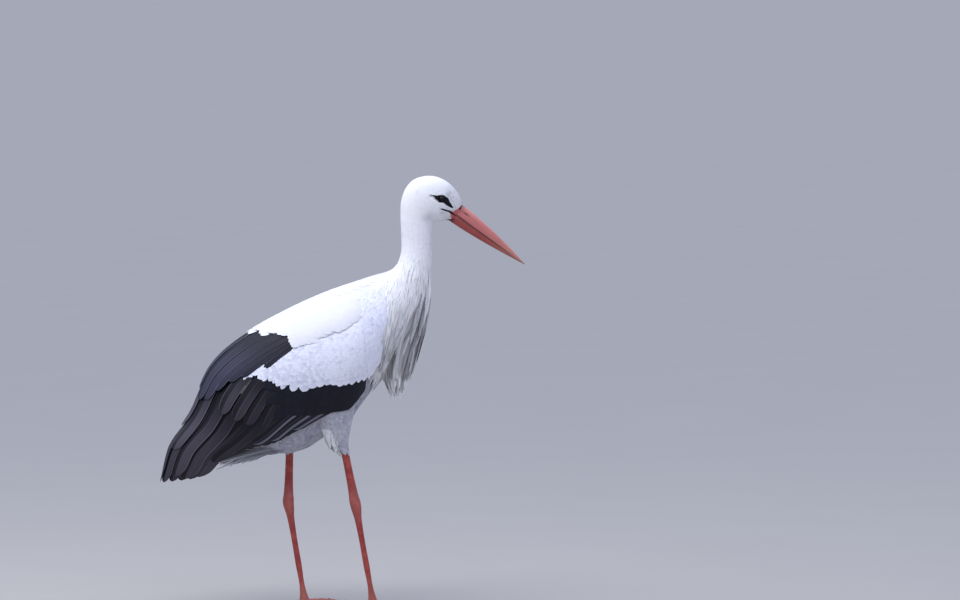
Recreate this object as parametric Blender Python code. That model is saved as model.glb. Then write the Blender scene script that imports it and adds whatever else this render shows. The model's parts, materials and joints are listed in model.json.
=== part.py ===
"""White stork, standing with one foot stepped forward, as a life-size model in closed solids.

The frame is in metres with +Z up. The bird looks along +X, its left side is +Y, and its soles are at Z = 0.
Body, neck and head are one row of upright ribs. A rib is a section that runs from a point on the upper outline
to a point on the lower outline, with a half width. Each folded wing is a thin wall on a second row of ribs that
wraps the body, and is parted into feather groups. Legs, toes and claws are tubes carried along short paths.
"""

import bmesh
import bpy
import numpy as np

# ---- driving sizes -------------------------------------------------------------------------------------------
GAP = 0.0003  # space left between pieces that touch
PARTING = 0.0006  # space left between two feather groups of one wing
ROUND = 20  # sides of the body tube
RIB_STEP = 0.5  # spacing of the body's rings, in ribs

# Ribs of the body, tail end to bill: upper outline x, z, lower outline x, z, half width.
BODY_RIBS = np.array([
    (-0.190, 0.405, -0.168, 0.310, 0.026),
    (-0.193, 0.500, -0.118, 0.303, 0.055),
    (-0.163, 0.554, -0.073, 0.313, 0.070),
    (-0.105, 0.592, -0.033, 0.338, 0.080),
    (-0.031, 0.624, 0.007, 0.360, 0.085),
    (0.019, 0.642, 0.041, 0.406, 0.083),
    (0.061, 0.655, 0.086, 0.466, 0.075),
    (0.096, 0.669, 0.129, 0.528, 0.061),
    (0.109, 0.681, 0.156, 0.584, 0.047),
    (0.116, 0.696, 0.172, 0.636, 0.036),
    (0.119, 0.713, 0.178, 0.680, 0.030),
    (0.119, 0.731, 0.180, 0.717, 0.0275),
    (0.118, 0.755, 0.181, 0.747, 0.0270),
    (0.117, 0.781, 0.184, 0.765, 0.0270),
    (0.118, 0.806, 0.189, 0.7675, 0.0275),
    (0.126, 0.831, 0.193, 0.7675, 0.0280),
    (0.141, 0.849, 0.197, 0.7675, 0.0280),
    (0.161, 0.857, 0.201, 0.7675, 0.0278),
    (0.181, 0.858, 0.205, 0.7675, 0.0270),
    (0.199, 0.853, 0.2085, 0.7675, 0.0252),
    (0.215, 0.843, 0.2115, 0.7675, 0.0225),
    (0.228, 0.829, 0.2135, 0.7675, 0.0195),
    (0.237, 0.813, 0.215, 0.768, 0.0165),
    (0.243, 0.797, 0.2165, 0.7685, 0.0138),
])
NECK_BASE = 6.5  # ribs at which the body is parted
NECK_MIDDLE = 10.0
HEAD_BACK = 13.5
HEAD_FRONT = 23.0
CUT_BASE, CUT_MIDDLE, CUT_HEAD = 0.006, 0.012, 0.018  # half of each cut's width, in ribs

# Ribs of the cloak that the two folded wings make: wing tips to shoulder.
CLOAK_RIBS = np.array([
    (-0.364, 0.252, -0.282, 0.249, 0.032),
    (-0.347, 0.322, -0.241, 0.288, 0.052),
    (-0.306, 0.388, -0.189, 0.314, 0.071),
    (-0.262, 0.480, -0.141, 0.328, 0.087),
    (-0.195, 0.545, -0.091, 0.356, 0.099),
    (-0.107, 0.594, -0.035, 0.382, 0.105),
    (-0.031, 0.626, 0.011, 0.399, 0.108),
    (0.025, 0.645, 0.047, 0.440, 0.104),
    (0.071, 0.659, 0.085, 0.494, 0.080),
])
RIDGE = 0.0029  # distance of a wing's upper edge from the middle
WRAP = np.radians((0.0, 145.0))  # angle that a cloak rib turns through, from its upper to its lower end
FULLNESS = 0.55  # power that squares up a cloak rib
WING_STEP = 1 / 3  # spacing of the wing's rows, in ribs
RIB_SPACING = 0.050  # least distance between two neighbouring cloak ribs

# Feather groups of a wing: first and last rib, upper and lower edge as shares of the rib at listed ribs.
WING_GROUPS = {
    "scapulars": ((4.6, 8.0), (4.6, 6, 8), (0.10, 0.12, 0.16), (4.6, 5, 6, 7, 8), (0.38, 0.38, 0.35, 0.36, 0.38)),
    "coverts": (
        (3.1, 8.0), (3.1, 4, 5, 6, 7, 8), (0.398, 0.38, 0.38, 0.35, 0.36, 0.38),
        (3.1, 3.7, 4, 5, 6, 7, 8), (0.412, 0.48, 0.56, 0.74, 0.77, 0.93, 0.97),
    ),
    "tertials": ((0.9, 4.6), (0.9, 4.6), (0.0, 0.0), (0.9, 1, 2, 3, 4, 4.6), (0.33, 0.34, 0.38, 0.40, 0.38, 0.38)),
    "secondaries": (
        (0.9, 7.9), (0.9, 1, 2, 3, 3.1, 3.7, 4, 5, 6, 7, 7.9),
        (0.33, 0.34, 0.38, 0.40, 0.412, 0.48, 0.56, 0.74, 0.77, 0.93, 0.966), (0.9, 7.9), (1.0, 1.0),
    ),
    "primaries": ((0.0, 0.9), (0.0, 0.9), (0.0, 0.0), (0.0, 0.9), (1.0, 1.0)),
}
WING_THICK = ((0, 1.5, 3.5, 4.6, 6.5, 8), (0.003, 0.006, 0.009, 0.013, 0.014, 0.004))  # rib, thickness

# Breast plumes: ribs from the throat of the ruff down to its tips. Inner x, z, outer x, z, half width.
RUFF_RIBS = np.array([
    (0.168, 0.652, 0.179, 0.646, 0.026),
    (0.146, 0.612, 0.177, 0.606, 0.038),
    (0.116, 0.566, 0.168, 0.556, 0.044),
    (0.094, 0.528, 0.158, 0.520, 0.045),
    (0.080, 0.492, 0.147, 0.478, 0.042),
    (0.078, 0.462, 0.136, 0.449, 0.034),
    (0.088, 0.438, 0.126, 0.430, 0.022),
    (0.104, 0.420, 0.116, 0.418, 0.008),
])

# Bill: its middle line at the feather edge and at the tip, depth and half width at the base.
BILL_BASE = np.array((0.2298, 0.0, 0.7828))
BILL_TIP = np.array((0.365, 0.0, 0.682))
BILL_DEPTH = 0.0392
BILL_HALF = 0.0122
BILL_MOUTH = 0.42  # share of the depth that the lower half takes at the base
BILL_TAPER = {"bill_upper": 1.75, "bill_lower": 2.1}  # powers of the depth's fall towards the tip
BILL_END = (0.0016, 0.0010)  # depth and half width left at the tip
BILL_POINTS = 9  # points across one ring of half a bill
EYE_AT = (0.1995, 0.8135)  # x, z
EYE_RADIUS = 0.0078
EYE_OUT = 0.0202  # distance of an eye's centre from the middle

# Tail fan: root and tip of its middle line, half widths and thickness.
TAIL_ROOT = np.array((-0.120, 0.345))
TAIL_TIP = np.array((-0.249, 0.283))
TAIL_HALF = (0.026, 0.040)
TAIL_THICK = (0.018, 0.006)

# Legs. Path points are x, y, z; radii are fore-and-aft and side-to-side.
THIGHS = {
    "right": (
        ((-0.015, -0.041, 0.420), 0.044, 0.034), ((-0.015, -0.042, 0.385), 0.040, 0.033),
        ((-0.011, -0.038, 0.352), 0.029, 0.024), ((-0.004, -0.034, 0.326), 0.018, 0.017),
        ((0.006, -0.031, 0.306), 0.0095, 0.0095),
    ),
    "left": (
        ((-0.062, 0.042, 0.420), 0.044, 0.034), ((-0.078, 0.043, 0.378), 0.038, 0.032),
        ((-0.092, 0.041, 0.348), 0.027, 0.024), ((-0.101, 0.037, 0.322), 0.016, 0.016),
        ((-0.1065, 0.034, 0.303), 0.0095, 0.0095),
    ),
}
KNEES = {"right": (0.0065, -0.0310, 0.3052), "left": (-0.1066, 0.0340, 0.3022)}
ANKLES = {"right": (0.027, -0.029, 0.202), "left": (-0.109, 0.021, 0.201)}
FEET = {"right": (0.063, -0.026), "left": (-0.075, 0.008)}
SHANK_RADIUS = (0.0068, 0.0074, 0.0098)  # at the feathers, in the middle, at the ankle
TARSUS_RADIUS = 0.0062
ANKLE_KNOB = 0.0112
ANKLE_CUT = 0.016  # height above the ankle's middle where shank and tarsus part
FOOT_TURN = {"right": -6.0, "left": 7.0}  # degrees that a foot is turned out
TOES = {  # angle from the foot's heading, length, half width at the root
    "middle": (0.0, 0.080, 0.0062),
    "outer": (38.0, 0.066, 0.0056),
    "inner": (-36.0, 0.058, 0.0056),
    "hind": (176.0, 0.032, 0.0048),
}
TOE_START = 0.006
CLAW_LENGTH = 0.0085

COLOURS = {
    "white": ((0.86, 0.86, 0.90), 0.85),
    "black": ((0.020, 0.020, 0.028), 0.55),
    "bill": ((0.62, 0.105, 0.060), 0.40),
    "leg": ((0.58, 0.060, 0.035), 0.50),
    "claw": ((0.060, 0.040, 0.035), 0.45),
    "eye": ((0.012, 0.009, 0.008), 0.08),
}


# ---- small tools ---------------------------------------------------------------------------------------------
def clear_scene():
    for obj in list(bpy.data.objects):
        bpy.data.objects.remove(obj)


def material(kind):
    """One Principled material for each kind of surface."""
    made = bpy.data.materials.get(kind)
    if made:
        return made
    colour, roughness = COLOURS[kind]
    made = bpy.data.materials.new(kind)
    made.use_nodes = True
    shader = made.node_tree.nodes["Principled BSDF"]
    shader.inputs["Base Color"].default_value = (*colour, 1.0)
    shader.inputs["Roughness"].default_value = roughness
    shader.inputs["Metallic"].default_value = 0.0
    return made


def through(knots, values, at):
    """A smooth curve through the values: cubic pieces whose slope at a knot is the mean of its two neighbours'."""
    knots = np.asarray(knots, float)
    values = np.asarray(values, float).reshape(len(knots), -1)
    step = np.diff(knots)[:, None]
    slope = np.diff(values, axis=0) / step
    inner = (slope[:-1] * step[1:] + slope[1:] * step[:-1]) / (step[1:] + step[:-1])
    slopes = np.vstack((slope[:1], inner, slope[-1:]))
    at = np.atleast_1d(np.asarray(at, float))
    left = np.clip(np.searchsorted(knots, at, side="right") - 1, 0, len(knots) - 2)
    span = step[left]
    t = (at - knots[left])[:, None] / span
    start, end = values[left], values[left + 1]
    into, out = slopes[left] * span, slopes[left + 1] * span
    return (
        start * (1 + 2 * t) * (1 - t) ** 2 + into * t * (1 - t) ** 2
        + end * t**2 * (3 - 2 * t) + out * t**2 * (t - 1)
    )


def rib(ribs, at):
    """The rib rows at given places along the row."""
    return through(np.arange(len(ribs)), ribs, at)


def finish(bm, name, kind):
    """Writes the bmesh into a new object, smooth where it is round."""
    bmesh.ops.recalc_face_normals(bm, faces=bm.faces[:])
    bmesh.ops.triangulate(bm, faces=bm.faces[:])
    mesh = bpy.data.meshes.new(name)
    bm.to_mesh(mesh)
    bm.free()
    mesh.shade_smooth()
    mesh.set_sharp_from_angle(angle=np.radians(40))
    obj = bpy.data.objects.new(name, mesh)
    obj.data.materials.append(material(kind))
    bpy.context.collection.objects.link(obj)
    return obj


def loft(name, rings, kind):
    """A closed solid through rings of equal count, with a flat cap on each end."""
    bm = bmesh.new()
    rows = [[bm.verts.new(point) for point in ring] for ring in rings]
    for low, high in zip(rows[:-1], rows[1:], strict=True):
        for i in range(len(low)):
            j = (i + 1) % len(low)
            bm.faces.new((low[i], low[j], high[j], high[i]))
    bm.faces.new(rows[0])
    bm.faces.new(rows[-1])
    return finish(bm, name, kind)


def slab(name, outer, inner, kind):
    """A closed thin wall between two grids of points, outer and inner, joined along their four edges."""
    rows, columns = outer.shape[:2]
    bm = bmesh.new()
    top = [[bm.verts.new(outer[i, j]) for j in range(columns)] for i in range(rows)]
    low = [[bm.verts.new(inner[i, j]) for j in range(columns)] for i in range(rows)]
    for i in range(rows - 1):
        for j in range(columns - 1):
            bm.faces.new((top[i][j], top[i + 1][j], top[i + 1][j + 1], top[i][j + 1]))
            bm.faces.new((low[i][j], low[i][j + 1], low[i + 1][j + 1], low[i + 1][j]))
    for i in range(rows - 1):
        bm.faces.new((top[i][0], low[i][0], low[i + 1][0], top[i + 1][0]))
        bm.faces.new((top[i][-1], top[i + 1][-1], low[i + 1][-1], low[i][-1]))
    for j in range(columns - 1):
        bm.faces.new((top[0][j], top[0][j + 1], low[0][j + 1], low[0][j]))
        bm.faces.new((top[-1][j], low[-1][j], low[-1][j + 1], top[-1][j + 1]))
    return finish(bm, name, kind)


def cut(target, tool, gap=GAP):
    """Takes the tool's shape, grown by the gap, out of the target."""
    bm = bmesh.new()
    bm.from_mesh(tool.data)
    bm.normal_update()
    moves = [vert.normal * gap * min(vert.calc_shell_factor(), 2.5) for vert in bm.verts]
    for vert, move in zip(bm.verts, moves, strict=True):
        vert.co += move
    mesh = bpy.data.meshes.new("cutter")
    bm.to_mesh(mesh)
    bm.free()
    cutter = bpy.data.objects.new(f"cutter_{target.name}_{tool.name}", mesh)
    bpy.context.collection.objects.link(cutter)
    cutter.hide_render = True
    cutter.display_type = "WIRE"
    boolean = target.modifiers.new(f"clear_{tool.name}", "BOOLEAN")
    boolean.operation = "DIFFERENCE"
    boolean.solver = "EXACT"
    boolean.object = cutter


# ---- body, neck and head -------------------------------------------------------------------------------------
def body_ring(row, sides=ROUND):
    """One closed section of a rib: an ellipse from its upper to its lower point, half as wide as the last value."""
    upper, lower, half = row[:2], row[2:4], row[4]
    angle = np.arange(sides) * 2 * np.pi / sides
    share = 0.5 - 0.5 * np.cos(angle)
    place = upper + (lower - upper) * share[:, None]
    return np.column_stack((place[:, 0], half * np.sin(angle), place[:, 1]))


def body_piece(name, first, last):
    """The length of the body between two ribs."""
    count = max(2, int(round((last - first) / RIB_STEP)) + 1)
    rows = rib(BODY_RIBS, np.linspace(first, last, count))
    return loft(name, [body_ring(row) for row in rows], "white")


def make_body():
    """Trunk, two lengths of neck and the head, parted by thin flat cuts that follow the ribs."""
    return {
        "trunk": body_piece("trunk", 0.0, NECK_BASE - CUT_BASE),
        "neck_lower": body_piece("neck_lower", NECK_BASE + CUT_BASE, NECK_MIDDLE - CUT_MIDDLE),
        "neck_upper": body_piece("neck_upper", NECK_MIDDLE + CUT_MIDDLE, HEAD_BACK - CUT_HEAD),
        "head": body_piece("head", HEAD_BACK + CUT_HEAD, HEAD_FRONT),
    }


def make_ruff():
    """The long breast plumes as one hanging mass in front of the lower neck."""
    rows = rib(RUFF_RIBS, np.linspace(0, len(RUFF_RIBS) - 1, 12))
    return loft("breast_ruff", [body_ring(row, sides=16) for row in rows], "white")


def bill_half(name, upper, face):
    """Half a bill: rings along the bill's line, round outside and flat along the mouth.

    The first ring is slid along the line into the plane of the head's front face, a gap in front of it.
    """
    line = BILL_TIP - BILL_BASE
    length = np.linalg.norm(line)
    line = line / length
    up = np.array((-line[2], 0.0, line[0]))
    side = 1 if upper else -1
    angle = np.linspace(0, np.pi, BILL_POINTS)
    rings = []
    for share in (0.0, 0.15, 0.32, 0.5, 0.66, 0.8, 0.91, 1.0):
        depth = BILL_DEPTH * (1 - share ** BILL_TAPER[name]) + BILL_END[0]
        half = BILL_HALF * (1 - share**1.3) + BILL_END[1]
        mouth = (BILL_DEPTH * (1 - share**1.75) + BILL_END[0]) * (BILL_MOUTH - 0.5)
        start = mouth + side * GAP / 2
        rise = start + (side * depth / 2 - start) * np.sin(angle) ** 0.8
        middle = BILL_BASE + line * (length * share)
        rings.append(middle + up * rise[:, None] + np.array((0.0, 1.0, 0.0)) * (half * np.cos(angle))[:, None])
    edge = face[1] - face[0]
    normal = np.array((edge[2], 0.0, -edge[0])) / np.linalg.norm(edge)
    slide = ((face[0] - rings[0]) @ normal + GAP) / (line @ normal)
    rings[0] = rings[0] + line * slide[:, None]
    return loft(name, rings, "bill")


def make_bill():
    front = BODY_RIBS[-1]
    face = (np.array((front[2], 0.0, front[3])), np.array((front[0], 0.0, front[1])))
    bill_half("bill_upper", True, face)
    bill_half("bill_lower", False, face)


def make_eye(side, sign):
    bm = bmesh.new()
    bmesh.ops.create_uvsphere(bm, u_segments=14, v_segments=8, radius=EYE_RADIUS)
    bmesh.ops.translate(bm, verts=bm.verts[:], vec=(EYE_AT[0], sign * EYE_OUT, EYE_AT[1]))
    return finish(bm, f"eye_{side}", "eye")


# ---- wings ---------------------------------------------------------------------------------------------------
def cloak_point(at, share):
    """Right-hand cloak surface: straight along a rib in side view, bulging out by a power of a sine."""
    row = rib(CLOAK_RIBS, at.ravel()).reshape(*at.shape, 5)
    turn = WRAP[0] + (WRAP[1] - WRAP[0]) * share
    out = RIDGE + (row[..., 4] - RIDGE) * np.sin(turn) ** FULLNESS
    x = row[..., 0] + (row[..., 2] - row[..., 0]) * share
    z = row[..., 1] + (row[..., 3] - row[..., 1]) * share
    return np.stack((x, -out, z), axis=-1)


def cloak_normal(at, share):
    """Outward direction of the cloak, from the cross product of its two small differences."""
    small = 0.02
    top = len(CLOAK_RIBS) - 1
    low, high = np.clip(at - small, 0, top), np.clip(at + small, 0, top)
    along = cloak_point(high, share) - cloak_point(low, share)
    near, far = np.clip(share - small, 0, 1), np.clip(share + small, 0, 1)
    down = cloak_point(at, far) - cloak_point(at, near)
    normal = np.cross(along, down)
    normal /= np.linalg.norm(normal, axis=-1, keepdims=True)
    return np.where(normal[..., 1:2] > 0, -normal, normal)


def wing_group(name, group, sign):
    """One feather group as a thin wall, from its first to its last rib and between its two edges."""
    (first, last), high_at, high, low_at, low = WING_GROUPS[group]
    knots = np.round(np.concatenate((np.arange(0, 8, WING_STEP), high_at, low_at)), 3)
    inside = np.unique(knots[(knots > first + 0.05) & (knots < last - 0.05)])
    rows = rib(CLOAK_RIBS, np.array((first, last)))
    reach = np.linalg.norm(rows[:, :2] - rows[:, 2:4], axis=1).mean()
    trim = PARTING / RIB_SPACING
    along = np.concatenate(((first + trim,), inside, (last - trim,)))
    upper = np.interp(along, high_at, high)
    upper = np.where(upper > 0, upper + 0.5 * PARTING / reach, upper)
    lower = np.interp(along, low_at, low) - 0.5 * PARTING / reach
    steps = max(3, int(round((lower - upper).mean() / 0.16)))
    share = upper[:, None] + (lower - upper)[:, None] * np.linspace(0, 1, steps + 1)
    at = np.broadcast_to(along[:, None], share.shape)
    outer = cloak_point(at, share)
    thick = np.interp(at, *WING_THICK)
    inner = outer - cloak_normal(at, share) * thick[..., None]
    flip = np.array((1.0, -sign, 1.0))
    kind = "white" if group in ("scapulars", "coverts") else "black"
    return slab(name, outer * flip, inner * flip, kind)


def make_wing(side, sign):
    return {f"wing_{side}_{group}": wing_group(f"wing_{side}_{group}", group, sign) for group in WING_GROUPS}


def make_tail():
    """A shallow fan: flat lens sections from the root to a rounded tip."""
    line = TAIL_TIP - TAIL_ROOT
    normal = np.array((line[1], -line[0])) / np.linalg.norm(line)
    angle = np.arange(12) * 2 * np.pi / 12
    rings = []
    for share, narrow in ((0, 1), (0.25, 1), (0.5, 1), (0.75, 1), (0.9, 0.93), (0.97, 0.8), (1.0, 0.55)):
        half = narrow * np.interp(share, (0, 1), TAIL_HALF)
        thick = narrow * np.interp(share, (0, 1), TAIL_THICK) / 2
        middle = TAIL_ROOT + line * share
        place = middle - normal * (thick * np.sin(angle))[:, None]
        droop = 0.004 * np.cos(angle) ** 2
        rings.append(np.column_stack((place[:, 0], half * np.cos(angle), place[:, 1] - droop)))
    return loft("tail", rings, "white")


# ---- legs and feet -------------------------------------------------------------------------------------------
def flat_ring(middle, radius_x, radius_y, sides=12):
    angle = np.arange(sides) * 2 * np.pi / sides
    x, y, z = middle
    return np.column_stack((x + radius_x * np.cos(angle), y + radius_y * np.sin(angle), np.full(sides, z)))


def make_thigh(side):
    points = np.array([(*middle, fore, across) for middle, fore, across in THIGHS[side]])
    rows = through(np.arange(len(points)), points, np.linspace(0, len(points) - 1, 8))
    return loft(f"thigh_{side}", [flat_ring(row[:3], row[3], row[4], 14) for row in rows], "white")


def make_shank(side):
    """The bare part of the leg above the ankle, between two level cuts."""
    top, ankle = np.array(KNEES[side]), np.array(ANKLES[side])
    top = top - (0, 0, 3 * GAP)
    bottom = ankle + (top - ankle) * ((ANKLE_CUT + GAP) / (top[2] - ankle[2]))
    share = np.linspace(0, 1, 5)
    radius = np.interp(share, (0, 0.5, 1), SHANK_RADIUS)
    rings = [flat_ring(top + (bottom - top) * s, r, 0.88 * r, 10) for s, r in zip(share, radius, strict=True)]
    return loft(f"shank_{side}", rings, "leg")


def make_tarsus(side):
    """Ankle knob, long straight tarsus and the low pad that the toes spring from, standing on the floor."""
    upper, ankle = np.array(KNEES[side]), np.array(ANKLES[side])
    foot = np.array((*FEET[side], 0.0))
    above = ankle + (upper - ankle) * (ANKLE_CUT / (upper[2] - ankle[2]))
    rings = [
        flat_ring(above, SHANK_RADIUS[2], 0.88 * SHANK_RADIUS[2], 10),
        flat_ring(ankle + (0, 0, 0.006), ANKLE_KNOB, 0.84 * ANKLE_KNOB, 10),
        flat_ring(ankle - (0, 0, 0.006), 0.96 * ANKLE_KNOB, 0.8 * ANKLE_KNOB, 10),
    ]
    for share, swell in ((0.12, 1.25), (0.25, 1.0), (0.6, 0.96), (0.88, 1.05), (0.94, 1.35)):
        radius = TARSUS_RADIUS * swell
        rings.append(flat_ring(ankle + (foot - ankle) * share, radius, 0.9 * radius, 10))
    rings.append(flat_ring(foot + (0, 0, 0.004), 0.0115, 0.0105, 10))
    rings.append(flat_ring(foot, 0.0105, 0.0098, 10))
    return loft(f"tarsus_{side}", rings, "leg")


def toe_ring(middle, heading, half, height):
    """A section that stands on the floor: flat below, round above."""
    angle = np.linspace(0, np.pi, 7)
    across = np.array((-heading[1], heading[0]))
    place = middle + across * (half * np.cos(angle))[:, None]
    return np.column_stack((place, height * np.sin(angle) ** 0.8))


def make_toe(side, toe, sign):
    """A toe with three soft pads along it, and its blunt claw."""
    angle, length, half = TOES[toe]
    turn = np.radians(FOOT_TURN[side] + sign * angle)
    heading = np.array((np.cos(turn), np.sin(turn)))
    foot = np.array(FEET[side])
    rings = []
    for share in np.linspace(0, 1, 8):
        swell = (1 - 0.34 * share) * (1 + 0.10 * np.cos(share * 6 * np.pi))
        middle = foot + heading * (TOE_START + (length - TOE_START) * share)
        rings.append(toe_ring(middle, heading, half * swell, 1.55 * half * swell))
    toe_object = loft(f"toe_{side}_{toe}", rings, "leg")
    start, size = foot + heading * (length + GAP), half * 0.62
    claw = [
        toe_ring(start, heading, size, 1.7 * size),
        toe_ring(start + heading * CLAW_LENGTH * 0.6, heading, 0.75 * size, 1.15 * size),
        toe_ring(start + heading * CLAW_LENGTH, heading, 0.25 * size, 0.35 * size),
    ]
    return toe_object, loft(f"claw_{side}_{toe}", claw, "claw")


def make_leg(side, sign):
    made = {"thigh": make_thigh(side), "shank": make_shank(side), "tarsus": make_tarsus(side)}
    for toe in TOES:
        made[toe], made[f"claw_{toe}"] = make_toe(side, toe, sign)
    for toe in TOES:
        cut(made[toe], made["tarsus"])
    for toe in ("outer", "inner"):
        cut(made[toe], made["middle"])
    return made


def centre_on_box():
    """Moves every mesh so that the middle of the whole box lies over the origin."""
    graph = bpy.context.evaluated_depsgraph_get()
    low, high = np.full(3, np.inf), np.full(3, -np.inf)
    for obj in bpy.data.objects:
        if obj.hide_render:
            continue
        corners = np.array([vert.co for vert in obj.evaluated_get(graph).data.vertices])
        low, high = np.minimum(low, corners.min(0)), np.maximum(high, corners.max(0))
    shift = (-(low[0] + high[0]) / 2, -(low[1] + high[1]) / 2, -low[2])
    for obj in bpy.data.objects:
        for vert in obj.data.vertices:
            vert.co += type(vert.co)(shift)


def main():
    clear_scene()
    body = make_body()
    ruff = make_ruff()
    make_bill()
    tail = make_tail()
    wings = {}
    legs = {}
    for side, sign in (("right", -1), ("left", 1)):
        wings.update(make_wing(side, sign))
        legs[side] = make_leg(side, sign)
        cut(body["head"], make_eye(side, sign))
    for piece in ("trunk", "neck_lower"):
        cut(ruff, body[piece])
    cut(tail, body["trunk"])
    for side in ("right", "left"):
        cut(legs[side]["thigh"], body["trunk"])
        cut(legs[side]["thigh"], wings[f"wing_{side}_secondaries"])
        for group in WING_GROUPS:
            name = f"wing_{side}_{group}"
            if group != "primaries":
                cut(body["trunk"], wings[name])
    centre_on_box()


main()
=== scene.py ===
"""Looks of the white stork: one skin, its plumage as thin overlapping vanes, bill, eyes, legs and claws.

Every coat piece is worked out the same way. A form gives points from two parameters: the body from rib and
angle, a folded wing from rib and share of the rib, a thigh from length and angle. A feather is rooted at a
place on a form and is carried along it, rising from the skin to the plumage's outer surface on the way, so
that each row lies over the roots of the next one. Measures are in metres unless a comment says otherwise.
"""

import json
from functools import partialmethod

import bmesh
import bpy
import numpy as np
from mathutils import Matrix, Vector
from numpy import clip, cos, exp, hypot, interp, linspace, pi, radians, sin, sqrt

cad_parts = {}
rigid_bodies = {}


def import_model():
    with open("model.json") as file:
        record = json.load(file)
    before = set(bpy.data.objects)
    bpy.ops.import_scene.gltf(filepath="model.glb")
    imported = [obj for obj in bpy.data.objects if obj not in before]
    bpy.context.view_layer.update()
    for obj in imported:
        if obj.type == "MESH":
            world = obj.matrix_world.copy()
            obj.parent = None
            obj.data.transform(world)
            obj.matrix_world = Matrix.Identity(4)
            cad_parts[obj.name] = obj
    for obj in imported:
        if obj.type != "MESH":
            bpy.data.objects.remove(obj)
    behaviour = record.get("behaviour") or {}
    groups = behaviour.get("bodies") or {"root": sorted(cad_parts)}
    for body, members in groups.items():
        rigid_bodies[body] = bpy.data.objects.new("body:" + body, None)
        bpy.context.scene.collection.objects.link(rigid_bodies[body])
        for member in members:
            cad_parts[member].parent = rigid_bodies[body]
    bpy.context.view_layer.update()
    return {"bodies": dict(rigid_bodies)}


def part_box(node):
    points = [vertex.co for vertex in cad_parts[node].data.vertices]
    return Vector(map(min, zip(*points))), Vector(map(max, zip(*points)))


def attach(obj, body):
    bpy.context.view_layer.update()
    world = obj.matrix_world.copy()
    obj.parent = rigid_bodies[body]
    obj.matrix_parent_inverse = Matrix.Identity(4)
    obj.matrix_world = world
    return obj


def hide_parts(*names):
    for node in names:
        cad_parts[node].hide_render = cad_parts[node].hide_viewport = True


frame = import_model()

TAU = 2 * pi
SIDES = (("right", -1), ("left", 1))

# ---- the bird's own lines, in millimetres as the solids have them ----
# Ribs of the body, tail end to bill: upper outline x, z, lower outline x, z, half width.
BODY_RIBS = np.array((
    (-190, 405, -168, 310, 26), (-193, 500, -118, 303, 55), (-163, 554, -73, 313, 70),
    (-105, 592, -33, 338, 80), (-31, 624, 7, 360, 85), (19, 642, 41, 406, 83),
    (61, 655, 86, 466, 75), (96, 669, 129, 528, 61), (109, 681, 156, 584, 47),
    (116, 696, 172, 636, 36), (119, 713, 178, 680, 30), (119, 731, 180, 717, 27.5),
    (118, 755, 181, 747, 27), (117, 781, 184, 765, 27), (118, 806, 189, 767.5, 27.5),
    (126, 831, 193, 767.5, 28), (141, 849, 197, 767.5, 28), (161, 857, 201, 767.5, 27.8),
    (181, 858, 205, 767.5, 27), (199, 853, 208.5, 767.5, 25.2), (215, 843, 211.5, 767.5, 22.5),
    (228, 829, 213.5, 767.5, 19.5), (237, 813, 215, 768, 16.5), (243, 797, 216.5, 768.5, 13.8),
)) / 1000
# Ribs of the cloak of folded wings, tips to shoulder: the crest lies a feather's height below the solids.
CLOAK_RIBS = np.array((
    (-368, 252, -282, 249, 32), (-350, 322, -241, 288, 52), (-306, 388, -189, 314, 71),
    (-262, 480, -141, 328, 87), (-195, 540, -91, 356, 99), (-107, 590, -35, 382, 105),
    (-31, 624, 11, 399, 108), (25, 643.5, 47, 440, 104), (71, 659, 85, 494, 80),
)) / 1000
# Ribs of the breast plumes: inner x, z, outer x, z, half width.
RUFF_RIBS = np.array((
    (138, 690, 178.5, 686, 27), (132, 650, 179, 646, 32), (118, 610, 176.5, 606, 40),
    (96, 566, 168, 556, 47), (80, 528, 158, 520, 48), (74, 492, 147, 480, 44),
    (75, 464, 139, 454, 38), (79, 441, 134, 434, 33), (86, 420, 130, 415, 29),
)) / 1000
# Sections down a thigh: middle x, y, z, half length fore and aft, half width.
THIGHS = {
    "right": np.array((
        (-15, -41, 420, 44, 34), (-15, -42, 385, 40, 33), (-11, -38, 352, 29, 24), (-4, -34, 326, 18, 17),
        (6, -31, 306, 9.5, 9.5),
    )) / 1000,
    "left": np.array((
        (-62, 42, 420, 44, 34), (-78, 43, 378, 38, 32), (-92, 41, 348, 27, 24), (-101, 37, 322, 16, 16),
        (-106.5, 34, 303, 9.5, 9.5),
    )) / 1000,
}
RIDGE, RIDGE_SHARE = 0.0029, 0.004  # half width of the back's ridge, and the share of a rib that rounds it
WRAP = radians(145.0)  # how far a wing wraps round the body
FULLNESS = 0.55
BILL_BASE = np.array((0.2298, 0.0, 0.7828))
BILL_TIP = np.array((0.365, 0.0, 0.682))
BILL_DEPTH, BILL_HALF, BILL_MOUTH = 0.0392, 0.0122, 0.42

# The solids are centred on their box, which moves them a little along X: the bill's tip tells how far.
SHIFT = np.array((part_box("bill_upper")[1][0] - BILL_TIP[0], 0.0, 0.0))
EYE = np.array((0.1995 + SHIFT[0], 0.8135))  # x, z

# ---- depths of the coat ----
DEPTH_KNOTS = (0, 5, 7, 9, 12, 14, 20, 23)  # body ribs
DEPTHS = (0.009, 0.009, 0.008, 0.006, 0.004, 0.003, 0.0024, 0.0012)
WING_DEPTH, WING_WALL = 0.0065, 0.008
ROOT_DEPTH = 0.0045  # of the wings' long feathers


def coat_depth(u):
    return interp(u, DEPTH_KNOTS, DEPTHS)


def thigh_depth(u):
    return interp(u, (0, 3, 4), (0.006, 0.004, 0.0025))


# ---- curves and forms ----
def bell(x, middle, width):
    """1 at the middle, falling to both sides as exp of minus the squared distance in widths."""
    return exp(-(((x - middle) / width) ** 2))


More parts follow.
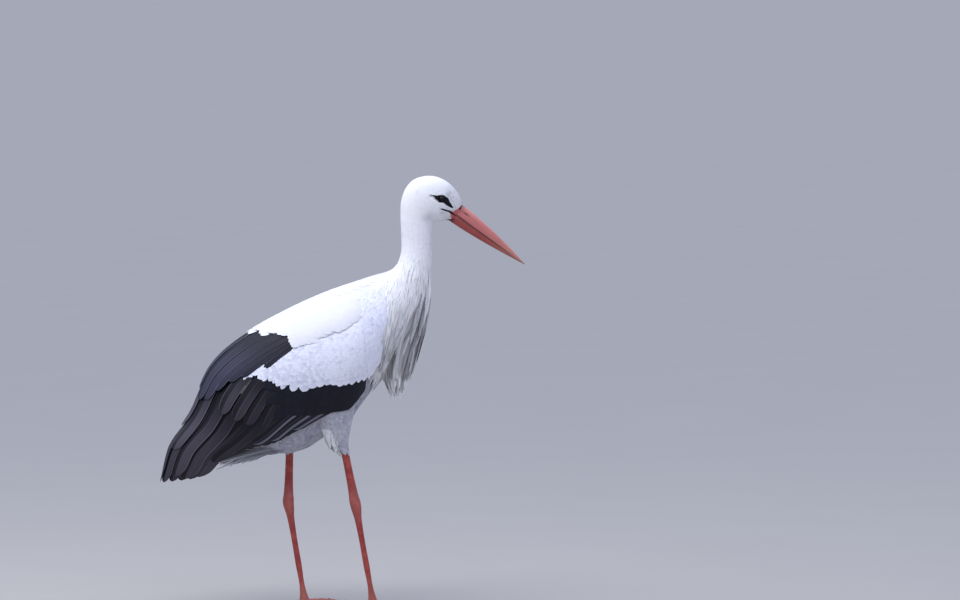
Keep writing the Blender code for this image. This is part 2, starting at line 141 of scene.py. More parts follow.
def cubic(t, start, leave, end, arrive):
    """The cubic from start to end that sets out with the slope leave and comes in with the slope arrive."""
    return (
        start * (1 + 2 * t) * (1 - t) ** 2 + leave * t * (1 - t) ** 2
        + end * t**2 * (3 - 2 * t) + arrive * t**2 * (t - 1)
    )


def through(values, at, knots=None):
    """A smooth curve through values: cubic pieces with mean slopes at knots, straight beyond the ends."""
    knots = np.arange(len(values), dtype=float) if knots is None else np.asarray(knots, float)
    values = np.asarray(values, float).reshape(len(knots), -1)
    step = np.diff(knots)[:, None]
    slope = np.diff(values, axis=0) / step
    inner = (slope[:-1] * step[1:] + slope[1:] * step[:-1]) / (step[1:] + step[:-1])
    slopes = np.vstack((slope[:1], inner, slope[-1:]))
    shape = np.shape(at)
    at = np.ravel(np.asarray(at, float))
    held = clip(at, knots[0], knots[-1])
    left = clip(np.searchsorted(knots, held, side="right") - 1, 0, len(knots) - 2)
    span = step[left]
    t = (held - knots[left])[:, None] / span
    found = cubic(t, values[left], slopes[left] * span, values[left + 1], slopes[left + 1] * span)
    beyond = (at - held)[:, None]
    found += beyond * np.where(beyond < 0, slopes[:1], slopes[-1:])
    return found.reshape(*shape, -1)


class Form:
    """A surface: points gives its place at (u, v), and turn, 1 or -1, makes its normal look outwards."""

    def __init__(self, points, turn=1):
        self.points, self.turn = points, turn

    def __call__(self, u, v):
        return self.points(*np.broadcast_arrays(u, v))

    def measured(self, u, v):
        """Point, outward normal and the two speeds, from central differences."""
        step = 0.01
        by_u = (self(u + step, v) - self(u - step, v)) / (2 * step)
        by_v = (self(u, v + step) - self(u, v - step)) / (2 * step)
        normal = self.turn * np.cross(by_u, by_v)
        normal /= np.maximum(np.linalg.norm(normal, axis=-1, keepdims=True), 1e-12)
        return self(u, v), normal, np.linalg.norm(by_u, axis=-1), np.linalg.norm(by_v, axis=-1)

    def speeds(self, u, v):
        return self.measured(u, v)[2:]


def down_rib(ribs, u, share):
    """x and z at a share of the way from the first to the last end of the rib at u, and its half width."""
    x, z, end_x, end_z, half = np.moveaxis(through(ribs, u), -1, 0)
    return x + (end_x - x) * share, z + (end_z - z) * share, half


def ring_form(ribs, turn=1):
    """A form round ribs: u is the place along them, v the angle from the upper point, round by the left."""

    def points(u, v):
        x, z, half = down_rib(ribs, u, 0.5 - 0.5 * cos(v))
        return np.stack((x, half * sin(v), z), axis=-1) + SHIFT

    return Form(points, turn)


def cloak_form(sign):
    """A folded wing's outer surface: u along the ribs, v the share of a rib, bulging by a power of a sine.

    A share below 0 lies past the ridge of the back, on the other wing.
    """

    def points(u, v):
        share = np.abs(v)
        x, z, half = down_rib(CLOAK_RIBS, u, share)
        out = RIDGE * clip(share / RIDGE_SHARE, 0, 1) + (half - RIDGE) * sin(WRAP * share) ** FULLNESS
        return np.stack((x, sign * np.sign(v) * out, z), axis=-1) + SHIFT

    return Form(points, sign)


def back_points(u, v):
    """The crest of the back across both wings: v is a rib's share to the power FULLNESS, below 0 right."""
    share = np.abs(v) ** (1 / FULLNESS)
    x, z, half = down_rib(CLOAK_RIBS, u, share)
    return np.stack((x, np.sign(v) * (half * sin(WRAP * share) ** FULLNESS), z), axis=-1) + SHIFT


def thigh_form(side):
    """A thigh: u runs down its five sections, v is the angle from the front, round by the left."""

    def points(u, v):
        x, y, z, fore, across = np.moveaxis(through(THIGHS[side], u), -1, 0)
        return np.stack((x + fore * cos(v), y + across * sin(v), z), axis=-1) + SHIFT

    return Form(points)


BODY = ring_form(BODY_RIBS)
RUFF = ring_form(RUFF_RIBS, turn=-1)
BACK = Form(back_points)


def shoulder_form(sign):
    """The hollow between neck and folded wing: cubic curves from the wing, u = 0, to the body, u = 1.

    A curve leaves along the wing and arrives along the body, at a speed of 0.9 of the straight way.
    """
    cloak = cloak_form(sign)
    wing_rib, onward, speed = 7.35, 0.1, 0.9

    def heading(start, end, size):
        way = end - start
        return way / np.linalg.norm(way, axis=-1, keepdims=True) * size

    def points(u, v):
        share, body_rib, angle = 0.1 + 0.8 * v, 8.75 - 2.05 * v, sign * radians(42.0 + 96.0 * v)
        start, end = cloak(wing_rib, share), BODY(body_rib, angle)
        size = speed * np.linalg.norm(end - start, axis=-1, keepdims=True)
        leave = heading(start, cloak(wing_rib + onward, share), size)
        arrive = heading(end, BODY(body_rib + onward, angle), size)
        return cubic(u[..., None], start, leave, end, arrive)

    return Form(points, sign)


# ---- meshes ----
MATERIALS = {}  # by name


def linked(name, data):
    """A mesh, lamp or camera as an object in the scene."""
    obj = bpy.data.objects.new(name, data)
    bpy.context.collection.objects.link(obj)
    return obj


def face_mesh(name, vertices, faces, finish, smooth=True):
    mesh = bpy.data.meshes.new(name)
    mesh.from_pydata(vertices, [], faces)
    mesh.validate()
    mesh.materials.append(MATERIALS[finish])
    mesh.polygons.foreach_set("use_smooth", np.full(len(mesh.polygons), smooth))
    return linked(name, mesh)


def quad_mesh(name, vertices, quads, finish):
    """A mesh of quads straight from arrays."""
    mesh = bpy.data.meshes.new(name)
    mesh.vertices.add(len(vertices))
    mesh.vertices.foreach_set("co", np.ravel(vertices).astype(np.float32))
    mesh.loops.add(quads.size)
    mesh.loops.foreach_set("vertex_index", np.ravel(quads).astype(np.int32))
    mesh.polygons.add(len(quads))
    mesh.polygons.foreach_set("loop_start", np.arange(0, quads.size, 4, dtype=np.int32))
    mesh.update(calc_edges=True)
    mesh.polygons.foreach_set("use_smooth", np.ones(len(quads), bool))
    mesh.materials.append(MATERIALS[finish])
    return linked(name, mesh)


def add_uv(obj, name, across, along):
    """A UV map from two arrays with a value for each vertex."""
    per_vertex = np.stack(np.broadcast_arrays(across, along), axis=-1).reshape(-1, 2)
    index = np.empty(len(obj.data.loops), np.int32)
    obj.data.loops.foreach_get("vertex_index", index)
    layer = obj.data.uv_layers.new(name=name)
    layer.data.foreach_set("uv", per_vertex[index].ravel().astype(np.float32))


def add_value(obj, name, per_vertex):
    attribute = obj.data.attributes.new(name, "FLOAT", "POINT")
    attribute.data.foreach_set("value", np.ravel(per_vertex).astype(np.float32))


def ring_quads(count, sides):
    """Numbers of the points in rings, ring by ring, and the quads between each ring and the next."""
    index = np.arange(count * sides).reshape(count, sides)
    low, high = index[:-1], index[1:]
    quads = np.stack((low, np.roll(low, -1, 1), np.roll(high, -1, 1), high), axis=-1)
    return index, quads.reshape(-1, 4)


def tube(name, rings, finish):
    """A closed tube through an array of rings, shape (rings, points, 3), with a flat face at both ends."""
    index, quads = ring_quads(*rings.shape[:2])
    faces = [*quads.tolist(), index[0][::-1].tolist(), index[-1].tolist()]
    obj = face_mesh(name, rings.reshape(-1, 3), faces, finish)
    bm = bmesh.new()
    bm.from_mesh(obj.data)
    bmesh.ops.recalc_face_normals(bm, faces=bm.faces[:])
    bm.to_mesh(obj.data)
    bm.free()
    return obj


def joined(name, parts):
    """Several meshes as one object."""
    bm = bmesh.new()
    for part in parts:
        bm.from_mesh(part.data)
    mesh = bpy.data.meshes.new(name)
    bm.to_mesh(mesh)
    bm.free()
    mesh.materials.append(parts[0].data.materials[0])
    for part in parts:
        bpy.data.objects.remove(part)
    return linked(name, mesh)


def placed(obj, slot, *nodes):
    """Every piece rides on the one body, and the solids that it stands for are hidden; slot is not used."""
    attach(obj, "root" if "root" in frame["bodies"] else next(iter(frame["bodies"])))
    if nodes:
        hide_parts(*nodes)


# ---- shader maths ----
class Wire:
    """A socket of a node tree that takes part in Python sums."""

    def __init__(self, tree, socket):
        self.tree, self.socket = tree, socket

    def math(self, operation, *others):
        inputs = dict(enumerate((self, *others)))
        return make_node(self.tree, "ShaderNodeMath", {"operation": operation}, inputs)

    __add__ = partialmethod(math, "ADD")
    __mul__ = partialmethod(math, "MULTIPLY")
    __sub__ = partialmethod(math, "SUBTRACT")
    abs = partialmethod(math, "ABSOLUTE")
    least = partialmethod(math, "MINIMUM")
    most = partialmethod(math, "MAXIMUM")

    def __rsub__(self, other):
        return self * -1.0 + other

    def clamp(self):
        return self.least(1.0).most(0.0)

    def step(self, low, high):
        """0 below low, 1 above high, smooth between; low may be above high, which turns it round."""
        inputs = {"Value": self, "From Min": min(low, high), "From Max": max(low, high)}
        found = make_node(self.tree, "ShaderNodeMapRange", {"interpolation_type": "SMOOTHSTEP"}, inputs)
        return 1.0 - found if low > high else found

    def blend(self, first, second):
        """The first colour where this value is 0 and the second where it is 1."""
        inputs = {0: self, 6: first, 7: second}  # a mix node has its colours at these places
        return make_node(self.tree, "ShaderNodeMix", {"data_type": "RGBA"}, inputs, 2)

    def parts(self):
        """The three numbers of a vector."""
        split = make_node(self.tree, "ShaderNodeSeparateXYZ", None, {0: self}).socket.node
        return [Wire(self.tree, socket) for socket in split.outputs]


def plug(tree, value, slot):
    """Links a wire into a socket, or sets the socket's own value."""
    if isinstance(value, Wire):
        tree.links.new(value.socket, slot)
    elif isinstance(value, tuple) and len(value) == 3 and len(slot.default_value) == 4:
        slot.default_value = (*value, 1.0)
    else:
        slot.default_value = value


def make_node(tree, kind, settings=None, inputs=None, out=0):
    """Any node: its type, its settings first, then values or wires for its inputs by name or place."""
    made = tree.nodes.new(kind)
    for key, value in (settings or {}).items():
        setattr(made, key, value)
    for key, value in (inputs or {}).items():
        plug(tree, value, made.inputs[key])
    return Wire(tree, made.outputs[out])


class Finish:
    """A Principled material under construction."""

    def __init__(self, name, **constants):
        material = MATERIALS[name] = bpy.data.materials.new(name)
        material.use_nodes = True
        self.tree = material.node_tree
        self.shader = self.tree.nodes["Principled BSDF"]
        for key, value in constants.items():
            self.shader.inputs[key.replace("_", " ")].default_value = value

    def node(self, kind, settings=None, inputs=None, out=0):
        return make_node(self.tree, kind, settings, inputs, out)

    def place(self):
        return self.node("ShaderNodeTexCoord", out=3)  # Object coordinates

    def uv(self, name):
        return self.node("ShaderNodeUVMap", {"uv_map": name})

    def value(self, name):
        return self.node("ShaderNodeAttribute", {"attribute_name": name}, out=2)

    def noise(self, where, scale, detail=4.0):
        return self.node("ShaderNodeTexNoise", None, {"Vector": where, "Scale": scale, "Detail": detail})

    def stretched(self, spot, scale):
        """Coordinates scaled apart along the three axes."""
        return self.node("ShaderNodeVectorMath", {"operation": "MULTIPLY"}, {0: spot, 1: scale})

    def colour(self, value):
        plug(self.tree, value, self.shader.inputs["Base Color"])

    def rough(self, value):
        plug(self.tree, value, self.shader.inputs["Roughness"])

    def bump(self, height, distance, strength):
        inputs = {"Strength": strength, "Distance": distance, "Height": height}
        plug(self.tree, self.node("ShaderNodeBump", None, inputs), self.shader.inputs["Normal"])


# ---- feathers ----
THIN_RING = np.array(((-1, 0), (0, 1), (1, 0), (0, -0.6)))  # across, height in thicknesses
BROAD_RING = np.array((
    (-1, 0), (-0.72, 0.5), (-0.4, 0.75), (-0.06, 0.9), (0, 1.9), (0.06, 0.9), (0.4, 0.75), (0.72, 0.5),
    (1, 0), (0.4, -0.4), (-0.4, -0.4),
))
PATCH = 0.003  # a feather's own size on the OFBake map
BAKE_EDGE, BAKE_SPAN = 0.01, 0.977  # where the patches start on that map, and how far they reach


def contour_shape(t):
    """Width of a body feather along its length: narrow root, even middle, round tip over its last 45%."""
    full = 0.55
    rise = 0.25 + 0.75 * sin(clip(t / full, 0, 1) * pi / 2)
    return rise * sqrt(clip(1 - (clip(t - full, 0, 1) / (1 - full)) ** 2, 0.02, 1))


def round_tip(t, tip):
    """Width of a flight feather: quick rise from the quill, even sides, an elliptic end over a share."""
    rise = clip(t / 0.25, 0, 1)
    fall = clip((t - (1 - tip)) / tip, 0, 1)
    return (0.35 + 0.65 * sin(rise * pi / 2)) * sqrt(clip(1 - fall**2, 0.0025, 1))


def lance_shape(t):
    """Width of a plume: widest in its first third, drawn out to a point."""
    swell = clip(0.3 + 0.7 * sin(pi * clip(t * 1.25, 0, 0.5)), 0, 1)
    return swell * clip(1 - t, 0, 1) ** 0.55 + 0.03


def feather_mesh(name, point, ring, finish):
    """Closed feathers as one mesh, from points (feathers, rings, sides, 3), with sharp rims and tips."""
    count, rows, sides = point.shape[:3]
    index, quads = ring_quads(rows, sides)
    strip = np.array([(i, i + 1, sides - 2 - i, sides - 1 - i) for i in range((sides - 1) // 2)])
    quads = np.vstack((quads, index[0][strip[:, ::-1]], index[-1][strip]))
    corners = point.reshape(count, -1, 3)
    centre = corners.mean(axis=1, keepdims=True)
    a, b, c = (corners[:, quads[:, k]] - centre for k in (0, 1, 2))
    volume = np.einsum("nij,nij->n", a, np.cross(b, c))
    every = np.where(volume[:, None, None] < 0, quads[None, :, ::-1], quads[None])
    every = (every + (np.arange(count) * rows * sides)[:, None, None]).reshape(-1, 4)
    obj = quad_mesh(name, corners.reshape(-1, 3), every, finish)
    ends = np.empty(len(obj.data.edges) * 2, np.int32)
    obj.data.edges.foreach_get("vertices", ends)
    ends = ends.reshape(-1, 2)
    column, row = ends % sides, (ends // sides) % rows
    near, far = ((column == place).all(axis=1) for place in (0, int(np.argmax(ring[:, 0]))))
    sharp = obj.data.attributes.new("sharp_edge", "BOOLEAN", "EDGE")
    sharp.data.foreach_set("value", near | far | (row == rows - 1).all(axis=1))
    return obj


def plumage(
    name, form, u, v, length, width, lie, finish, *, tone, steps=6, shape=contour_shape, tip=None, sink=0,
    rise=0, settle=2.4, lift=0, camber=0.04, thick=0.00022, roll=0, droop=0, layer=0, from_tips=False,
    slot="white_feather", nodes=(),
):
    """Feathers rooted at (u, v) on a form and carried along it, or with from_tips ending at (u, v).

    At t of its length and w of its half width a feather lies at the form's point for
    u + (cos(lie) a - sin(lie) c) / speed_u and v + (sin(lie) a + cos(lie) c) / speed_v, with a = length t
    and c = half w, where half is half its width times shape(t). Its height over the form is
    layer - sink + rise (1 - (1 - t)^settle) + lift t + roll c + camber (1 - w^2) half, with its own
    thickness, and droop t^2 pulls it down. With a tip, the share of its length that rounds off, it is a
    flight feather: a broad ring.
    """
    each = (u, v, length, width, lie, sink, rise, lift, roll, droop, layer)
    u, v, length, width, lie, sink, rise, lift, roll, droop, layer = (
        np.broadcast_to(np.asarray(value, float), (len(u),))[:, None, None] for value in each
    )
    even, least = 0.55, 0.25  # share of even ring spacing, and of the root's speed that counts at least
    t = linspace(0, 1, steps + 1)[None, :, None]
    t = even * t + (1 - even) * sin(t * pi / 2)  # closer rings towards the tip
    ring = THIN_RING if tip is None else BROAD_RING
    w, swell = ring[None, None, :, 0], ring[None, None, :, 1]
    half = width / 2 * (shape(t) if tip is None else round_tip(t, tip))
    ahead, aside = length * t, half * w
    lie_cos, lie_sin = cos(lie), sin(lie)
    speed_u, speed_v = form.speeds(u, v)
    if from_tips:
        u, v = u - lie_cos * length / speed_u, v - lie_sin * length / speed_v
        speed_u, speed_v = form.speeds(u, v)
    line_u, line_v = u + lie_cos * ahead / speed_u, v + lie_sin * ahead / speed_v
    near_u, near_v = form.speeds(line_u, line_v)
    near_u, near_v = np.maximum(near_u, least * speed_u), np.maximum(near_v, least * speed_v)
    point, normal, _, _ = form.measured(line_u - lie_sin * aside / near_u, line_v + lie_cos * aside / near_v)
    height = (
        layer - sink + rise * (1 - (1 - t) ** settle) + lift * t + roll * aside + camber * half * (1 - w**2)
        + swell * thick * (0.35 + 0.65 * sin(pi * t**0.7))
    )
    point = point + normal * height[..., None]
    point[..., 2] -= droop * t**2
    obj = feather_mesh(name, point, ring, finish)
    across, along, _ = np.broadcast_arrays(0.5 + 0.5 * w, t, u)
    add_uv(obj, "vane", across, along)
    patch_u, patch_v = (
        BAKE_EDGE + BAKE_SPAN * ((value - value.min()) / max(np.ptp(value), 1e-9)) for value in (u, v)
    )
    add_uv(obj, "OFBake", patch_u + PATCH * (0.85 * along + 0.05 * swell), patch_v + PATCH * across)
    add_value(obj, "tone", np.repeat(tone, point.shape[1] * point.shape[2]))
    placed(obj, slot, *nodes)


def lattice(form, u_range, v_range, pitch_u, pitch_v, rng, keep=None, fill=1.15):
    """Staggered rows over a stretch of a form: even steps along u, and along v as many as fit the pitch.

    Rows that crowd together where the form narrows lose feathers by chance, so that the cover stays even.
    """
    stray, sparsest = 0.3, 0.12  # furthest a root strays, in pitches, and the least share of feathers kept
    middle_v = linspace(*v_range, 9)
    walk = linspace(*u_range, 200)
    speed = form.speeds(walk[:, None], middle_v[None])[0].max(axis=1)
    length = np.concatenate(((0,), np.cumsum((speed[1:] + speed[:-1]) / 2 * np.diff(walk))))
    row_u = interp(linspace(0, length[-1], max(2, int(length[-1] / pitch_u))), length, walk)
    width_v = v_range[1] - v_range[0]
    roots = []
    for number, place in enumerate(row_u):
        count = max(3, int(form.speeds(place, middle_v)[1].max() * width_v / pitch_v))
        share = (np.arange(count) + 0.5 * (number % 2) + 0.25) / count
        roots.append(np.column_stack((np.full(count, place), v_range[0] + share * width_v)))
    u, v = np.vstack(roots).T
    speed_u, speed_v = form.speeds(u, v)
    u = u + rng.uniform(-stray, stray, len(u)) * pitch_u / speed_u
    v = v + rng.uniform(-stray, stray, len(u)) * pitch_v / speed_v
    crowd = interp(u, row_u, np.gradient(row_u)) * speed_u / pitch_u
    chosen = rng.random(len(u)) < clip(crowd * fill, sparsest, 1)
    if keep is not None:
        chosen &= keep(u, v)
    return u[chosen], v[chosen]


# ---- face marks ----
def strokes(*rows):
    """Tapered strokes in the side view, from offsets of start and end from the eye and two radii, in mm."""
    return [np.array(row) / 1000 + (*EYE, *EYE, 0, 0) for row in rows]


# Bare black skin round the eye, and red horn at the side of the gape, where the feathers part.
FACE_STROKES = strokes(
    (-9.5, 2.4, 0, -0.2, 4.2, 8.2), (0, -0.2, 6.5, -2.6, 8.2, 7.2), (6.5, -2.6, 21, -17.8, 7.2, 1.9),
    (-9.5, 3.5, -21.5, 9, 3, 0.4), (1.6, -20.9, 19, -27.8, 1.8, 2.2), (18.5, -27.8, 28, -34, 1.6, 0.9),
    (6.5, -44.6, 17.8, -45.2, 1.4, 4.2), (35.5, -20.5, 42.5, -15, 1.2, 3),
)
HORN_STROKES = strokes(
    (21.5, -30.5, 39.5, -19, 3.2, 2.2), (21.5, -32, 22.5, -40.5, 3.6, 2.6), (29, -29, 26, -37, 5, 4.5),
)
# Painted shade on the plumage: throat, lore, cheek and the front of the neck, as x, z, spread along x and z,
# depth.
SHADES = (
    (0.178, 0.784, 0.013, 0.007, 3.2), (0.217, 0.818, 0.006, 0.012, 4.0), (0.212, 0.783, 0.01, 0.005, 2.5),
    (0.184, 0.75, 0.008, 0.04, 1.1),
)


def stroke_distance(x, z, stroke, limit, length):
    """Distance from a stroke's line less its radius there; limit and length suit arrays or wires."""
    start_x, start_z, end_x, end_z, first, last = stroke
    run_x, run_z = end_x - start_x, end_z - start_z
    size = run_x**2 + run_z**2
    t = limit((x - start_x) * (run_x / size) + (z - start_z) * (run_z / size))
    return length(x - start_x - t * run_x, z - start_z - t * run_z) - (t * (last - first) + first)


def bare_face(point):
    """How far the head's surface is from the nearest place that bears no feathers."""
    x, z = point[..., 0], point[..., 2]
    marks = FACE_STROKES + HORN_STROKES
    return np.min([stroke_distance(x, z, mark, lambda t: clip(t, 0, 1), hypot) for mark in marks], axis=0)


# ---- finishes ----
def darker(colour, share):
    return tuple(share * part for part in colour)


def barbs(across, along, count, slant):
    """Fine barbs that run from the shaft towards the tip: a wave over along less slant times the offset."""
    offset = (across - 0.5).abs() * 2.0
    return ((along - offset * slant) * (count * TAU)).math("SINE") * 0.5 + 0.5


def white_feather(name, bright, shade, mottle, root, fade=(0.5, 0.0), count=22.0, depth=0.00012):
    """White vane: fine barbs, a faint shaft, painted shade at the root where the feathers above lie on it,
    and a difference between feathers.

    A tone above 0.5 leaves a feather bright; below that its painted shade grows in proportion, also past 0.
    The tone holds a random difference between feathers and, where the coats ask for it, painted shade.
    """
    finish = Finish(name, Roughness=0.85, Sheen_Weight=0.12, Specular_IOR_Level=0.25)
    across, along, _ = finish.uv("vane").parts()
    # share of the shade colour from the tone: a random difference between feathers and painted shade; mottle
    # sets its strength
    variation_and_shade = (finish.value("tone") * -2.0 + 1.0).most(0.0)
    wave = barbs(across, along, count, 0.35)
    shaft = (across - 0.5).abs().step(0.035, 0.0)
    # root and fade paint shade over the root, where the feathers above cover it
    mix = (along.step(*fade) * root + wave * 0.05 + variation_and_shade * mottle + shaft * 0.06).clamp()
    finish.colour(mix.blend(bright, shade))
    finish.bump(wave * 0.7 + shaft, depth, 0.35)


def black_feather(name, dark, light, fringe, count=60.0, edge_share=0.5, margin=0.0):
    """Dark vane: streaks and barbs, a lighter edge and shaft, and where asked a broad pale lower margin."""
    finish = Finish(name, Specular_IOR_Level=0.24)
    across, along, _ = finish.uv("vane").parts()
    tone = finish.value("tone")
    offset = (across - 0.5).abs() * 2.0
    wave = barbs(across, along, count, 0.1)
    spot = {"X": across * 9.0, "Y": along * 1.6, "Z": tone * 57.0}
    streak = finish.noise(finish.node("ShaderNodeCombineXYZ", None, spot), 1.0)
    shaft = offset.step(0.06, 0.02)
    edge = offset.step(0.86, 0.99)
    under = across.step(0.42, 0.66) * 0.9  # the inner vane, which the next feather shades
    light_share = tone * 0.8 + (streak - 0.5) * 0.6 + wave * 0.08 + 0.06
    base = (light_share * (1.0 - under) * (along.step(0.15, 0.72) * 0.9 + 0.1)).clamp().blend(dark, light)
    pale = ((edge * tone * edge_share * 2.0 + shaft * 0.3) * along.step(0.1, 0.55)).clamp()
    if margin:
        pale = (pale + across.step(0.3, 0.12) * margin).clamp()
    finish.colour(pale.blend(base, fringe))
    finish.rough(wave * 0.1 + streak * 0.15 + 0.38)
    finish.bump(wave * 0.4 + shaft + streak, 0.00025, 0.6)


def skin_finish(name, plain, horn, dark):
    """Skin under the coat, with the bare black face, the gape line and the red horn by the gape."""
    finish = Finish(name, Roughness=0.6, Specular_IOR_Level=0.2)
    spot = finish.place()
    x, _, z = spot.parts()
    grain = finish.noise(spot, 900.0)
    marks = []
    for table in (HORN_STROKES, FACE_STROKES):
        distances = [stroke_distance(x, z, stroke, Wire.clamp, lambda a, b: (a * a + b * b).math("SQRT"))
                     for stroke in table]
        nearest = distances[0]
        for distance in distances[1:]:
            nearest = nearest.least(distance)
        marks.append((nearest + (grain - 0.5) * 0.001).step(0.0009, -0.0002))
    base = marks[0].blend(grain.blend(plain, darker(plain, 0.85)), horn)
    finish.colour(marks[1].blend(base, dark))
    finish.bump(finish.noise(spot, 1400.0, 5.0), 0.0003, 0.5)


def horn_finish(name, base, ridge):
    """Bill horn: red, paler to the tip, with long fine streaks and a dark nostril slit and mouth edge."""
    finish = Finish(name, Specular_IOR_Level=0.5)
    place = finish.uv("horn")
    along, rise, _ = place.parts()
    streak = finish.noise(finish.stretched(place, (6.0, 90.0, 1.0)), 1.0)
    mottle = finish.noise(finish.place(), 160.0)
    colour = along.step(0.35, 1.0).blend(base, (0.58, 0.25, 0.18))
    colour = ((streak - 0.5) * 2.4 + 0.35).clamp().blend(colour, darker(base, 0.66))
    # ridge: a painted highlight along the top of the upper mandible
    if ridge:
        colour = (rise.step(0.78, 1.02) * 0.55).blend(colour, ridge)
    colour = (mottle.step(0.55, 0.75) * 0.3).blend(colour, (0.56, 0.19, 0.13))
    finish.colour(finish.value("dark").clamp().blend(colour, (0.035, 0.012, 0.012)))
    finish.rough(streak * 0.25 + 0.28)
    finish.bump(streak * 0.7 + mottle * 0.5, 0.00035, 0.5)


def leg_finish(name):
    """Leg skin: red, in small many-sided scales with darker seams, dusty below, paler at the ankle."""
    finish = Finish(name, Roughness=0.55, Specular_IOR_Level=0.4)
    spot = finish.place()
    z = spot.parts()[2]
    inputs = {"Vector": finish.stretched(spot, (1.0, 1.0, 0.72)), "Scale": 330.0}
    cells = finish.node("ShaderNodeTexVoronoi", {"feature": "DISTANCE_TO_EDGE"}, inputs)
    mottle = finish.noise(spot, 70.0, 5.0)
    colour = mottle.step(0.35, 0.7).blend((0.36, 0.045, 0.037), (0.54, 0.092, 0.07))
    colour = (cells.step(0.1, 0.0) * 0.65).blend(colour, (0.13, 0.022, 0.02))
    colour = (z.step(0.07, 0.0) * 0.35).blend(colour, (0.36, 0.2, 0.15))
    colour = ((z - 0.205).abs().step(0.05, 0.01) * 0.3).blend(colour, (0.44, 0.19, 0.155))
    finish.colour(colour)
    finish.bump(cells.step(0.0, 0.25) + mottle * 0.4, 0.0005, 0.8)


def claw_finish(name):
    """Claw horn: nearly black, with brown streaks."""
    finish = Finish(name, Roughness=0.42)
    streak = finish.noise(finish.place(), 420.0)
    finish.colour(streak.blend((0.03, 0.02, 0.018), (0.12, 0.075, 0.06)))
    finish.bump(streak, 0.0002, 0.5)


def eye_finish(name):
    """Dark brown iris round a black pupil, under a wet clear surface."""
    finish = Finish(name, Roughness=0.16, Specular_IOR_Level=0.18, Coat_Weight=0.12, Coat_Roughness=0.04)
    radial = finish.value("radial")
    iris = finish.noise(finish.place(), 1800.0, 3.0).blend((0.006, 0.004, 0.004), (0.018, 0.01, 0.007))
    pupil = radial.step(0.4, 0.34).blend(iris, (0.002, 0.002, 0.002))
    finish.colour(radial.step(0.8, 0.95).blend(pupil, (0.004, 0.004, 0.004)))


def floor_finish(name):
    """Pale floor with a faint cloudiness."""
    finish = Finish(name, Roughness=0.9, Specular_IOR_Level=0.1)
    finish.colour(finish.noise(finish.place(), 3.0).blend((0.375, 0.36, 0.335), (0.395, 0.38, 0.355)))


# Name, bright colour and painted shade colour, strength of the tone (a random difference between feathers
# and painted shade), painted shade at the root, its fading, barbs, relief.
for settings in (
    ("white vane", (0.8, 0.8, 0.815), (0.55, 0.56, 0.64), 0.14, 0.3, (0.8, 0.25)),
    ("body vane", (0.9, 0.9, 0.91), (0.31, 0.31, 0.39), 0.11, 0.24),
    ("fine white tuft", (0.9, 0.9, 0.91), (0.42, 0.42, 0.47), 0.06, 0.14, (0.5, 0.0), 9.0, 0.00006),
    # White covert and shoulder vane: their bluish white is painted shade of the blue sky on the side of the
    # wing.
    ("white covert", (0.885, 0.895, 0.975), (0.52, 0.54, 0.66), 0.28, 0.44, (0.97, 0.58)),
    ("neck tuft", (0.9, 0.9, 0.92), (0.42, 0.42, 0.5), 0.12, 0.16, (0.5, 0.0), 9.0, 0.00006),
    ("shoulder vane", (0.89, 0.9, 0.99), (0.56, 0.58, 0.72), 0.2, 0.34, (0.97, 0.5)),
    ("breast plume", (0.9, 0.9, 0.9), (0.25, 0.24, 0.25), 0.34, 0.16, (0.5, 0.0), 40.0),
):
    white_feather(*settings)
# Name, dark, light and edge colour, barbs, strength of the edge, strength of the lower margin.
for settings in (
    ("flight vane", (0.005, 0.0045, 0.009), (0.076, 0.066, 0.086), (0.15, 0.14, 0.165)),
    ("scapular vane", (0.006, 0.006, 0.014), (0.062, 0.06, 0.1), (0.16, 0.16, 0.22), 60.0, 0.6),
    ("fringed vane", (0.005, 0.005, 0.01), (0.035, 0.032, 0.048), (0.19, 0.19, 0.25), 60.0, 0.5, 0.9),
    ("black covert", (0.0045, 0.005, 0.011), (0.0085, 0.0095, 0.021), (0.012, 0.0135, 0.026), 40.0),
):
    black_feather(*settings)
skin_finish("skin", plain=(0.8, 0.78, 0.79), horn=(0.52, 0.13, 0.12), dark=(0.005, 0.005, 0.012))
# upper horn is paler and pinker than lower horn: painted sky reflection on the upper mandible
horn_finish("upper horn", (0.57, 0.165, 0.152), ridge=(0.66, 0.23, 0.18))
horn_finish("lower horn", (0.41, 0.068, 0.06), ridge=None)
leg_finish("leg scales")
claw_finish("claw horn")
eye_finish("eye")
floor_finish("floor")


# ---- skin ----
def lid_relief(point):
    """Height of the skin near an eye: a rim of lid round an almond opening that sinks into the socket."""
    x, z = point[..., 0] - EYE[0], point[..., 2] - EYE[1]
    turn = radians(-28.0)
    along = x * cos(turn) + z * sin(turn)
    across = -x * sin(turn) + z * cos(turn)
    radius = hypot(along / 1.16, across)
    rim = 0.0016 * bell(radius, 0.0066, 0.0011)
    fold = 0.0005 * bell(radius, 0.009, 0.0008) * (across > -0.004)
    hollow = -0.006 * clip((0.0058 - radius) / 0.0012, 0, 1)
    return rim + fold + hollow


def skin_body():
    """The body's form sunk by the coat's depth, with lids pressed up round the eyes."""
    neck, head, end, sides = 13.5, 15, 23.0, 112  # ribs: closer rings from neck, lids from head
    u = np.concatenate((np.arange(0, neck, 0.22), np.arange(neck, end, 0.07), (end,)))[:, None]
    point, normal, _, _ = BODY.measured(u, np.arange(sides)[None] * TAU / sides)
    sunk = point - normal * coat_depth(u)[..., None]
    at_side = np.abs(normal[..., 1]) > 0.5
    relief = np.where(at_side & (u > head), lid_relief(point), 0)
    return tube("skin", sunk + normal * relief[..., None], "skin")


